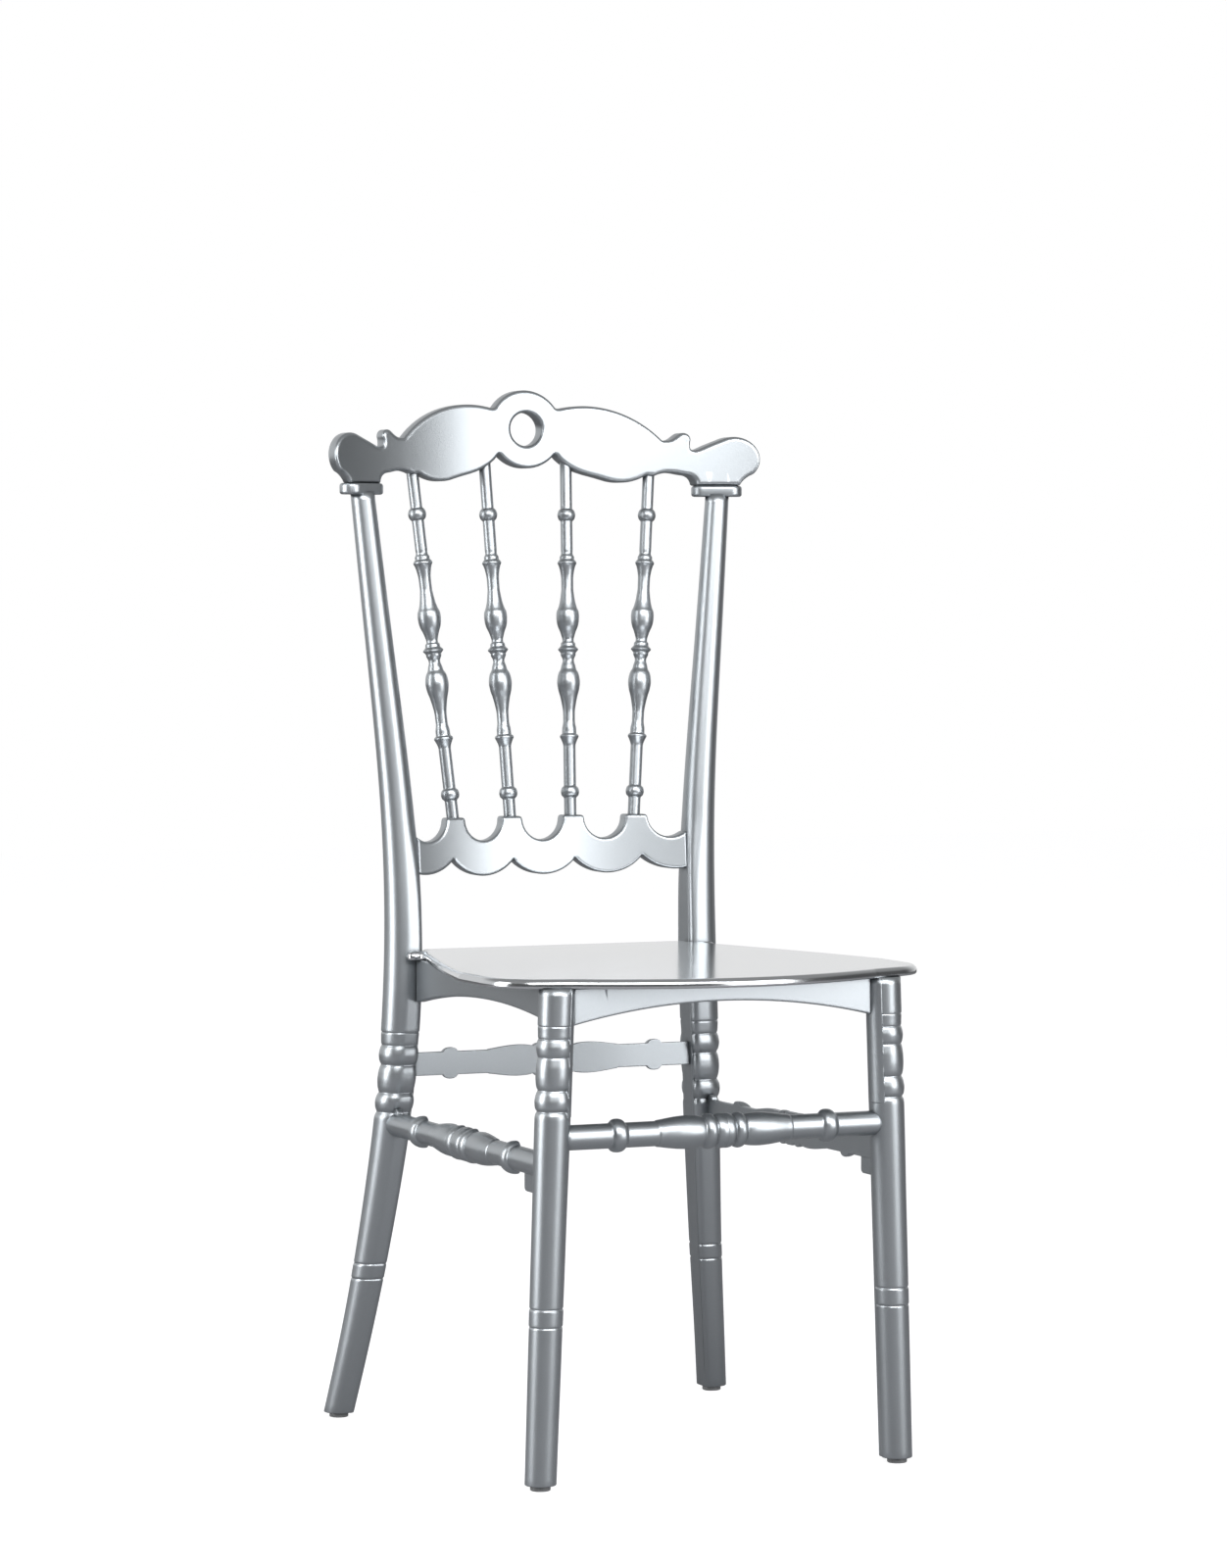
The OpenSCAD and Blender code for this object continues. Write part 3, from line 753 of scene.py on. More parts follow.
class Finish(Enum):
    """The chair's finishes."""

    # each paint's groove colour is painted shade for grooves and tight corners
    SILVER = SilverPaint(
        "silver_paint", (0.375, 0.40, 0.42), groove=(0.085, 0.09, 0.097), roughness=0.37, coat=0.06,
        flake_amount=0.05, cloud_amount=0.04, peel=0.05,
    )
    # lighter copy of the silver paint for the seat: its lighter colour is painted light for the bright
    # reflection on the seat top, while its gloss and coat are finish
    SEAT = SilverPaint(
        "seat_paint", (0.55, 0.565, 0.58), groove=(0.15, 0.155, 0.162), roughness=0.17, coat=0.20,
        flake_amount=0.02, cloud_amount=0.02, peel=0.02,
    )
    RESIN = MouldedPlastic("plain_resin", (0.30, 0.305, 0.31), roughness=0.48, grain=700.0)
    GLIDE = MouldedPlastic("glide_plastic", (0.20, 0.205, 0.21), roughness=0.42, grain=900.0)
    ZINC = ZincSteel("zinc_steel", (0.62, 0.62, 0.60), roughness=0.34)

    @property
    def slot(self) -> str:
        """The record's material slot for this finish."""
        return {
            "SILVER": "silver_coat", "SEAT": "seat_coat", "RESIN": "plain_resin",
            "GLIDE": "glide_resin", "ZINC": "zinc_steel",
        }[self.name]


def box_mm(node: str) -> tuple[Array, Array]:
    """Lowest and highest corner of a CAD node, in mm."""
    low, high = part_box(node)
    return np.array(low) / MM, np.array(high) / MM


# ---------------------------------------------------------------- boards


@dataclass(frozen=True)
class Cut:
    """How finely a board is cut: spacing and corner rounding of its outline, and spacing on its faces."""

    step: float
    blur: float
    face_step: float


@dataclass
class BentBoard:
    """A board bent about an upright axis, hollow side forward, and leaning back."""

    radius: float
    lean: float
    thickness: float
    middle_y: float
    middle_z: float

    def warp(self, local: Array) -> Array:
        """Bends and leans a flat board.

        y = middle_y + (sqrt((R + w)^2 - x^2) - R + (z - middle_z) sin lean) / cos lean, where R is the radius
        and w the distance from the middle surface; x and z stay.

        Args:
            local: Rows of x, height and distance from the middle surface.

        Returns:
            Rows of x, y, z.
        """
        x, z, w = local.T
        tilt = math.radians(self.lean)
        bow = np.sqrt((self.radius + w) ** 2 - x**2) - self.radius
        y = self.middle_y + (bow + (z - self.middle_z) * math.sin(tilt)) / math.cos(tilt)
        return np.column_stack([x, y, z])


@dataclass
class CrestRail:
    """The scrolled top rail with a round hole in its middle lobe."""

    lobe_r: float = 35.0
    hole_r: float = 15.0
    edge: float = 3.4
    ear_r: float = 19.98
    curl_r: float = 6.0
    cut: Cut = Cut(1.1, 0.9, 6.0)
    hole_cut: Cut = Cut(0.9, 0.2, 6.0)
    board: BentBoard = field(default_factory=lambda: BentBoard(415.0, 4.6, 18.0, 228.0, 833.0))

    def outline(self, foot: float, top: float) -> Array:
        """Right half from the top: lobe, wing, curl and its undercut, slope, ear, neck, waves, lobe's foot.

        Args:
            foot: Height of the rail's feet on the collars.
            top: Height of the lobe's top.

        Returns:
            The whole outline, counter-clockwise.
        """
        lobe = top - self.lobe_r
        half = np.vstack([
            arc((0, lobe), self.lobe_r, 90, 33),
            arc((56, top - 107.5), 94, 104, 42, 60),
            [[128, 873.9], [130.5, 873.8], [133, 874.3], [136, 876.0]],
            arc((144, 874.8), self.curl_r, 135, -28, 24),
            [[149.2, 869.3], [149.3, 866.6], [150.6, 865.2], [153, 864.9], [157, 866.0]],
            [[162, 868.4], [166, 870.3]],
            arc((186, 857.2), self.ear_r, 118, -44, 50),
            [[196.5, 841.5], [192.6, 838.2], [190.2, 835.2], [189.3, foot], [154, foot]],
            arc((145, 834), 8.4, 0, 78, 16),
            [[141.5, 843.0], [137, 844.0], [132, 844.6], [127, 844.5], [122, 843.4], [117, 841.4]],
            arc((88, 877), 41.4, -57, -108, 40),
            [[70, 839.2], [64, 840.8], [57, 842.6], [50, 844.8], [44, 847.4]],
            [[37, 851.4], [31.5, 855.8], [27.2, 861.0]],
            arc((0, lobe), self.lobe_r, -42, -90, 30),
        ])
        return whole(half)[::-1]

    def build(self, shop: Workshop) -> None:
        """Makes the rail."""
        low, high = box_mm("crest_rail")
        top = high[2]
        outline = softened(self.outline(low[2], top), self.cut.step, self.cut.blur)
        hole = arc((0, top - self.lobe_r), self.hole_r, 360, 0, 120)[:-1]
        hole = softened(hole, self.hole_cut.step, self.hole_cut.blur)
        skin = slab([outline, hole], self.board.thickness / 2, self.edge, self.cut.face_step, self.board.warp)
        shop.piece("scrolled_crest_rail", [skin], Finish.SILVER, "crest_rail")


@dataclass
class BackRail:
    """The lower back rail: scallops above, waves below, and four pads for the spindles."""

    scallop_r: float = 19.0
    edge: float = 2.6
    pad_r: float = 2.6
    half_length: float = 129.7
    cut: Cut = Cut(0.9, 0.6, 5.0)
    board: BentBoard = field(default_factory=lambda: BentBoard(400.0, 5.7, 15.0, 194.5, 537.0))

    def outline(self, top: float) -> Array:
        """Right half: middle scallop, pad, scallop, pad, end scallop, end, and three waves back.

        Args:
            top: Height of the pads.

        Returns:
            The whole outline, counter-clockwise.
        """
        end = self.half_length + 1.5
        half = np.vstack([
            arc((0, top - 2), self.scallop_r + 0.6, -90, -6, 40),
            arc((22.4, top - self.pad_r), self.pad_r, 180, 90, 8),
            arc((37.4, top - self.pad_r), self.pad_r, 90, 0, 8),
            arc((59, top - 2), self.scallop_r, 186, 354, 70),
            arc((80.6, top - self.pad_r), self.pad_r, 180, 90, 8),
            arc((95.4, top - self.pad_r), self.pad_r, 90, 0, 8),
            arc((117.5, top - 1), self.scallop_r + 0.4, 186, 305, 50),
            [[end, 521.5], [end, 489.2]],
            arc((121, 528), 40.4, -80, -137, 30),
            arc((60.3, 525.1), 40.4, -40, -140, 50),
            arc((0, 525), 40.4, -43.6, -90, 30),
        ])
        return whole(half)[::-1]

    def build(self, shop: Workshop) -> None:
        """Makes the rail; its ends run a little into the posts."""
        top = box_mm("back_rail")[1][2]
        outline = softened(self.outline(top), self.cut.step, self.cut.blur)
        skin = slab([outline], self.board.thickness / 2, self.edge, self.cut.face_step, self.board.warp)
        shop.piece("scalloped_back_rail", [skin], Finish.SILVER, "back_rail")


@dataclass
class Seat:
    """The seat panel: bowed front, flared sides, ears in front of the posts, rounded edge all round."""

    rear_half: float = 128.0
    ear: tuple[float, float] = (143.5, 142.5)
    ear_r: float = 5.5
    waist: float = 137.0
    corner_r: float = 51.5
    corner_y: float = -146.0
    widest_y: float = -97.0
    bow: float = 45.0
    sway: float = 0.24
    top_edge: float = 5.0
    low_edge: float = 1.8
    rear_corner_r: float = 3.0
    notch_r: float = 2.0
    ear_straight: float = 2.5
    ear_drop: float = 5.0
    corner_turn: float = 67.0
    bow_share: float = 0.94
    cut: Cut = Cut(1.6, 1.0, 11.0)

    def outline(self, half_width: float, rear: float, front: float) -> Array:
        """Right half from the rear edge's middle: rear edge, notch for the post, ear, side, corner, front.

        The side spreads as sway sin(90 t) + (1 - sway) t, the corner is an arc, and the front is a parabola.

        Args:
            half_width: Half the seat's greatest width.
            rear: y of the rear edge.
            front: y of the front edge's middle.

        Returns:
            The whole outline, counter-clockwise.
        """
        y = self.ear[1]
        t = np.linspace(0, 1, 40)
        start = y - self.ear_r - self.ear_drop
        spread = self.sway * np.sin(np.pi / 2 * t) + (1 - self.sway) * t
        side_x = self.waist + (half_width - self.waist) * spread
        reach = half_width - self.corner_r
        u = np.linspace(self.bow_share, 0, 40)
        corner_x, corner_y = self.rear_half - self.rear_corner_r, rear - self.rear_corner_r
        notch_y = y + self.ear_r + self.notch_r
        half = np.vstack([
            [[0, rear], [corner_x, rear]],
            arc((corner_x, corner_y), self.rear_corner_r, 90, 0, 8),
            [[self.rear_half, notch_y]],
            arc((self.rear_half + self.notch_r, notch_y), self.notch_r, 180, 270, 6),
            arc(self.ear, self.ear_r, 90, -90, 24),
            [[self.waist + self.ear_straight, y - self.ear_r]],
            np.column_stack([side_x, start + (self.widest_y - start) * t]),
            arc((reach, self.corner_y), self.corner_r, 0, -self.corner_turn, 40),
            np.column_stack([reach * u, front + self.bow * u * u]),
        ])
        return whole(half)[::-1]

    def build(self, shop: Workshop) -> None:
        """Makes the panel."""
        low, high = box_mm("seat_panel")
        half = (high[2] - low[2]) / 2
        middle = (high[2] + low[2]) / 2
        outline = softened(self.outline(high[0], high[1], low[1]), self.cut.step, self.cut.blur)
        lift = [0, 0, middle]
        skin = slab([outline], half, self.top_edge, self.cut.face_step, lambda p: p + lift, self.low_edge)
        # the seat takes the lightened copy of the silver paint, painted light for its bright top
        shop.piece("seat_with_rounded_edge", [skin], Finish.SEAT, "seat_panel")


@dataclass
class Aprons:
    """The four boards under the seat, each with a hollow lower edge."""

    depth: float = 44.0
    edge: float = 1.4
    cross_radius: float = 590.0
    cross_crown: float = 15.0
    side_radius: float = 1200.0
    side_crown: float = 21.0
    side_middle: float = 130.0
    thickness: float = 9.0
    side_start: tuple[float, float] = (151.5, -182.5)
    side_end: tuple[float, float] = (134.2, 148.0)
    cut: Cut = Cut(1.5, 0.35, 12.0)

    def outline(self, length: float, middle: float, radius: float, crown: float, under: float) -> Array:
        """Board seen from its side: straight ends and top, and an arc below.

        Args:
            length: Its length.
            middle: Where along it the arc is highest.
            radius: The arc's radius.
            crown: Depth of the board at the crown.
            under: Height of the seat's underside.

        Returns:
            The outline, counter-clockwise.
        """
        x = np.linspace(0, length, 80)
        lower = under - crown - radius + np.sqrt(radius**2 - (x - middle) ** 2)
        lower = np.maximum(lower, under - self.depth)
        return np.vstack([np.column_stack([x, lower]), [[length, under], [0, under]]])

    def board(self, outline: Array, start: Array, end: Array) -> Skin:
        """Stands a board's outline between two points in plan."""
        run = (end - start) / np.linalg.norm(end - start)

        def warp(local: Array) -> Array:
            """Along the run, up, and through the thickness."""
            u, v, w = local.T
            x, y = start[0] + u * run[0] - w * run[1], start[1] + u * run[1] + w * run[0]
            return np.column_stack([x, y, v])

        loop = softened(outline, self.cut.step, self.cut.blur)
        return slab([loop], self.thickness / 2, self.edge, self.cut.face_step, warp)

    def build(self, shop: Workshop) -> None:
        """Makes the four aprons."""
        under = box_mm("seat_panel")[0][2]
        for node, name in (("front_apron", "arched_front_apron"), ("rear_apron", "arched_rear_apron")):
            low, high = box_mm(node)
            half, y = high[0], (low[1] + high[1]) / 2
            outline = self.outline(2 * half, half, self.cross_radius, self.cross_crown, under)
            skin = self.board(outline, np.array([-half, y]), np.array([half, y]))
            shop.piece(name, [skin], Finish.SILVER, node)
        start, end = np.array(self.side_start), np.array(self.side_end)
        length = float(np.linalg.norm(end - start))
        outline = self.outline(length, self.side_middle, self.side_radius, self.side_crown, under)
        shop.pair("arched_side_apron", [self.board(outline, start, end)], Finish.SILVER, "side_apron")


# ---------------------------------------------------------------- turned pieces


@dataclass
class Spindles:
    """The four turned spindles, which fan out a little from the lower rail to the crest rail."""

    inner_foot: tuple[float, float, float] = (29.5, 193.2, 537.0)
    inner_head: tuple[float, float, float] = (39.6, 226.4, 850.0)
    outer_foot: tuple[float, float, float] = (88.3, 184.6, 537.0)
    outer_head: tuple[float, float, float] = (115.0, 211.8, 840.0)
    into_rail: float = 5.0
    into_crest: float = 7.0
    sides: int = 56
    fine: Runs = ((14, 27, 0.55), (61, 92, 0.75), (95, 205, 0.75), (215, 240, 0.6), (262.5, 276, 0.5))
    turning: Stations = (
        (-8, 5.5), (14.6, 5.5), (15.5, 5.9), (17.2, 7.5), (20.5, 8.2), (23.8, 7.5), (25.4, 5.95),
        (26.2, 5.5), (28, 5.5), (61.6, 5.5), (63.2, 5.75), (66, 6.7), (68, 7.6), (70.2, 8.5), (71.2, 8.2),
        (72.6, 6.6), (74, 6.45), (77.7, 6.3), (81, 5.65), (84, 5.3), (92, 5.35), (99, 6.3), (106, 7.75),
        (113, 9.6), (119, 10.35), (123.7, 9.85), (127, 9.0), (130.8, 7.0), (134, 6.25), (136, 5.6),
        (137.8, 5.15), (139.6, 5.2), (141.4, 5.9), (143.6, 6.8), (145.2, 6.9), (146.2, 7.6), (148.3, 9.15),
        (150.2, 7.7), (151.4, 6.7), (153.7, 6.5), (155.2, 5.3), (157, 5.15), (160.8, 6.0), (164.3, 7.1),
        (169.6, 9.2), (174, 10.1), (178, 10.35), (182, 10.0), (185.5, 8.6), (190.8, 7.1), (197.8, 6.0),
        (203, 5.45), (212, 5.5), (219, 6.4), (223.6, 7.6), (226, 8.6), (227.2, 8.2), (229.4, 6.6),
        (231.3, 6.6), (233, 5.7), (234.8, 5.2), (238, 5.4), (261, 5.4), (263.6, 5.45), (264.4, 6.3),
        (266, 7.4), (269.3, 8.15), (272.4, 7.4), (274, 6.3), (274.8, 5.4), (277, 5.35), (330, 5.35),
    )

    def one(self, foot: Array, head: Array) -> Skin:
        """Turned surface about the line from foot to head: rings of the turning's radius, square to the line.

        Args:
            foot: Where the line meets the lower rail's top.
            head: Where it enters the crest rail.

        Returns:
            The surface.
        """
        rise = head[2] - foot[2]
        low, high, slack = -self.into_rail, rise + self.into_crest, 0.01
        stations = np.array([s[0] for s in self.turning if s[0] < rise])
        heights = stacked(np.linspace(low, high, 60), *close_runs(self.fine), stations)
        heights = heights[(heights > low - slack) & (heights < high + slack)]
        radius = through(self.turning, heights)
        axis = (head - foot) / np.linalg.norm(head - foot)
        across = np.cross([0.0, 1.0, 0.0], axis)
        across /= np.linalg.norm(across)
        other = np.cross(axis, across)
        angle = np.linspace(0, 2 * np.pi, self.sides, endpoint=False)
        ring = np.cos(angle)[:, None] * across + np.sin(angle)[:, None] * other
        centre = foot + (heights / rise)[:, None] * (head - foot)
        return tube(centre[:, None, :] + radius[:, None, None] * ring)

    def build(self, shop: Workshop) -> None:
        """Makes the four spindles."""
        pairs = (("inner", self.inner_foot, self.inner_head), ("outer", self.outer_foot, self.outer_head))
        for row, foot, head in pairs:
            skin = self.one(np.array(foot), np.array(head))
            shop.pair(f"turned_spindle_{row}", [skin], Finish.SILVER, f"spindle_{row}")


@dataclass
class Stretchers:
    """The four stretchers: turned outside and flat inside, with taller ends on the side ones' flats."""

    flat: float = 2.0
    edge: float = 0.45
    sides: int = 88
    side_spread: float = 1.09
    rear_spread: float = 1.03
    front_lug: tuple[float, float] = (45.0, 24.5)
    rear_lug: tuple[float, float] = (23.0, 14.5)
    lug_thickness: float = 6.0
    lug_corner: float = 4.0
    lug_edge: float = 0.9
    lug_gap: float = 2.0
    lug_sink: float = 0.4
    lug_cut: Cut = Cut(0.8, 0.3, 6.0)
    side_z: float = 267.5
    side_front_x: float = 155.25
    side_rear: tuple[float, float] = (151.4, 174.5)
    fine: Runs = ((0, 22, 0.35), (22, 64, 1.2), (59.5, 63, 0.35), (88, 105, 0.5), (105, 175, 6.0))
    turning: Stations = (
        (0, 14.35), (0.3, 14.62), (3, 14.7), (5.6, 14.25), (7.4, 13.4), (8.1, 12.8), (8.5, 12.4),
        (9.1, 13.1), (11, 14.5), (13.6, 15.0), (16.2, 14.5), (18.2, 13.1), (18.9, 12.4), (19.5, 12.5),
        (21.5, 13.1), (26, 13.75), (33, 14.05), (41, 13.65), (50, 12.6), (57, 11.55), (60.4, 11.1),
        (61, 10.75), (61.6, 10.5), (64, 10.5), (88.4, 10.5), (89.6, 10.6), (90.2, 11.3), (91.8, 12.9),
        (94.2, 13.85), (96.5, 14.05), (98.8, 13.85), (101.2, 12.9), (102.8, 11.3), (103.4, 10.6),
        (104.6, 10.5), (260, 10.5),
    )

    def bar(self, start: Array, end: Array, inward: Array, spread: float) -> Skin:
        """Turned bar from start to end, flat on its inner side.

        Round its axis the distance d towards the chair's middle is cut to the flat by the soft minimum
        flat - e ln(1 + exp((flat - d) / e)), which also rounds the long edges.

        Args:
            start: One end of the axis.
            end: The other end.
            inward: Unit direction of the flat face.
            spread: How much the turning is stretched.

        Returns:
            The surface.
        """
        run = end - start
        length = float(np.linalg.norm(run))
        run = run / length
        half, last_gap, steepest = length / 2, 0.5, 40
        fine = stacked(*close_runs(self.fine)) * spread
        fine = fine[fine < half - last_gap]
        places = np.concatenate([[-half], -fine[::-1], fine[1:], [half]])
        radius = through(self.turning, np.abs(places) / spread)
        angle = np.linspace(0, 2 * np.pi, self.sides, endpoint=False)
        across = radius[:, None] * np.sin(angle)
        gap = np.clip((self.flat - across) / self.edge, -steepest, steepest)
        cut = self.flat - self.edge * np.log1p(np.exp(gap))
        height = radius[:, None] * np.cos(angle)
        centre = (start + end) / 2 + places[:, None] * run
        return tube(centre[:, None, :] + cut[..., None] * inward + height[..., None] * UP)

    def lug(self, size: tuple[float, float], corner: Array, run: Array, inward: Array, down: float) -> Skin:
        """Taller end of a side bar's flat face: a plate with a rounded free corner.

        Args:
            size: Its length and height.
            corner: Point on the bar's axis where the plate starts.
            run: Unit direction along the bar.
            inward: Unit direction of the flat face.
            down: -1 for a plate below the axis, 1 for one above it.

        Returns:
            The surface.
        """
        (reach, height), r = size, self.lug_corner
        outline = np.vstack([
            [[0, 0], [0, -height]],
            arc((reach - r, r - height), r, -90, 0, 12),
            [[reach, 0]],
        ])
        half = self.lug_thickness / 2

        def warp(local: Array) -> Array:
            """Along the bar, up or down, and inwards from the plate's middle."""
            u, v, w = local.T
            middle = self.flat - half - self.lug_sink
            return corner + u[:, None] * run + (-down * v)[:, None] * UP + (w + middle)[:, None] * inward

        loop = softened(outline, self.lug_cut.step, self.lug_cut.blur)
        return slab([loop], half, self.lug_edge, self.lug_cut.face_step, warp)

    def cross_bar(self, shop: Workshop, row: str, y: float, box: tuple[Array, Array], back: float) -> None:
        """Makes the front or rear stretcher.

        Args:
            shop: Where the piece is made.
            row: front or rear.
            y: y of its axis.
            box: Lowest and highest corner of its CAD node.
            back: 1 if its flat face looks back, -1 if it looks forward.
        """
        low, high = box
        z, half = (low[2] + high[2]) / 2, high[0]
        spread = self.rear_spread if row == "rear" else 1.0
        bar = self.bar(np.array([-half, y, z]), np.array([half, y, z]), np.array([0, back, 0]), spread)
        shop.piece(f"turned_{row}_stretcher", [bar], Finish.SILVER, f"{row}_stretcher")

    def build(self, shop: Workshop) -> None:
        """Makes the four stretchers on the axes of their CAD nodes."""
        glide = box_mm("glide_front_right")
        leg_y = (glide[0][1] + glide[1][1]) / 2
        low, high = box_mm("front_stretcher")
        self.cross_bar(shop, "front", leg_y, (low, high), 1.0)
        low, high = box_mm("rear_stretcher")
        self.cross_bar(shop, "rear", low[1] + self.flat, (low, high), -1.0)

        start = np.array([self.side_front_x, leg_y, self.side_z])
        end = np.array([*self.side_rear, self.side_z])
        run = (end - start) / np.linalg.norm(end - start)
        inward = np.array([-run[1], run[0], 0.0])
        skins = [
            self.bar(start, end, inward, self.side_spread),
            self.lug(self.front_lug, start + self.lug_gap * run, run, inward, -1),
            self.lug(self.rear_lug, end - self.lug_gap * run, -run, inward, 1),
        ]
        shop.pair("turned_side_stretcher", skins, Finish.SILVER, "side_stretcher")


@dataclass
class FrontLegs:
    """The front legs: turned under the seat, plain below, plain on their inner side all the way up."""

    lean_in: float = 15.1
    lean_height: float = 414.5
    corner: float = 11.9
    corner_power: int = 12
    sides: int = 120
    foot_edge: float = 0.9
    plain_r: float = 15.2
    plain_to: float = 238.0
    turned_from: float = 309.0
    fine: Runs = ((132, 155, 0.4), (304, 390, 0.45))
    turning: Stations = (
        (0, 13.2), (60, 13.5), (133, 13.85), (134.6, 13.85), (135.3, 13.45), (135.7, 13.3), (136.1, 13.45),
        (136.9, 14.0), (138.5, 14.1), (148, 14.15), (149.6, 14.05), (150.4, 13.5), (150.8, 13.35),
        (151.2, 13.5), (152, 13.95), (154, 14.0), (230, 14.4), (300, 14.85), (307, 14.85), (310, 14.65),
        (312.2, 14.0), (313.2, 13.3), (313.8, 13.2), (314.4, 13.7), (317, 14.9), (321.5, 15.35),
        (326, 14.8), (329.8, 13.6), (330.7, 13.05), (331.3, 13.05), (332.1, 13.6), (337, 14.8), (343, 15.2),
        (349, 15.1), (355, 14.4), (357.5, 13.9), (358.2, 13.4), (358.9, 13.9), (362, 14.9), (366.3, 15.4),
        (370, 14.9), (372.6, 14.2), (373.3, 13.6), (373.8, 13.75), (374.6, 14.1), (379, 14.35),
        (383.2, 14.55), (383.8, 14.2), (384.2, 14.2), (384.8, 14.75), (387, 14.8), (420, 14.8),
    )

    def skin(self, foot: Array, low: float, high: float) -> Skin:
        """Level sections on a leaning line, with the turning's radius.

        From straight back round the inner side to the plain_to angle, the part above turned_from is left
        plain. In the inner back quarter the radius is at least that of a square with a soft corner,
        side / (|cos a|^p + |sin a|^p)^(1/p).

        Args:
            foot: x and y of the leg's line at the floor.
            low: Height of the leg's foot.
            high: Height of its top.

        Returns:
            The surface of the right leg.
        """
        z = levels(low, high, 70, self.fine, self.foot_edge)
        radius = through(self.turning, z)
        angle = np.unique(np.concatenate([
            np.linspace(0, 360, self.sides, endpoint=False), np.linspace(90, 180, 61),
            np.linspace(128, 142, 15), np.linspace(self.plain_to - 3, self.plain_to, 7),
        ]))
        c, s = np.abs(np.cos(np.radians(angle))), np.abs(np.sin(np.radians(angle)))
        square = self.corner / (c**self.corner_power + s**self.corner_power) ** (1 / self.corner_power)
        quarter = (angle > 90) & (angle < 180)
        plain = smoothstep(90, 93, angle) * (1 - smoothstep(self.plain_to - 2.5, self.plain_to, angle))
        turned = smoothstep(self.turned_from - 0.6, self.turned_from, z)[:, None]
        body = radius[:, None] + (self.plain_r - radius[:, None]) * plain * turned
        section = np.where(quarter, np.maximum(body, square), body)
        section = section - foot_round(z, low, self.foot_edge)[:, None]
        x = foot[0] - self.lean_in * z / self.lean_height
        return standing(x, np.full_like(z, foot[1]), z, section, angle)

    def build(self, shop: Workshop) -> None:
        """Makes both front legs."""
        low, high = box_mm("front_leg_right")
        glide = box_mm("glide_front_right")
        foot = (glide[0] + glide[1])[:2] / 2
        shop.pair("turned_front_leg", [self.skin(foot, low[2], high[2])], Finish.SILVER, "front_leg")


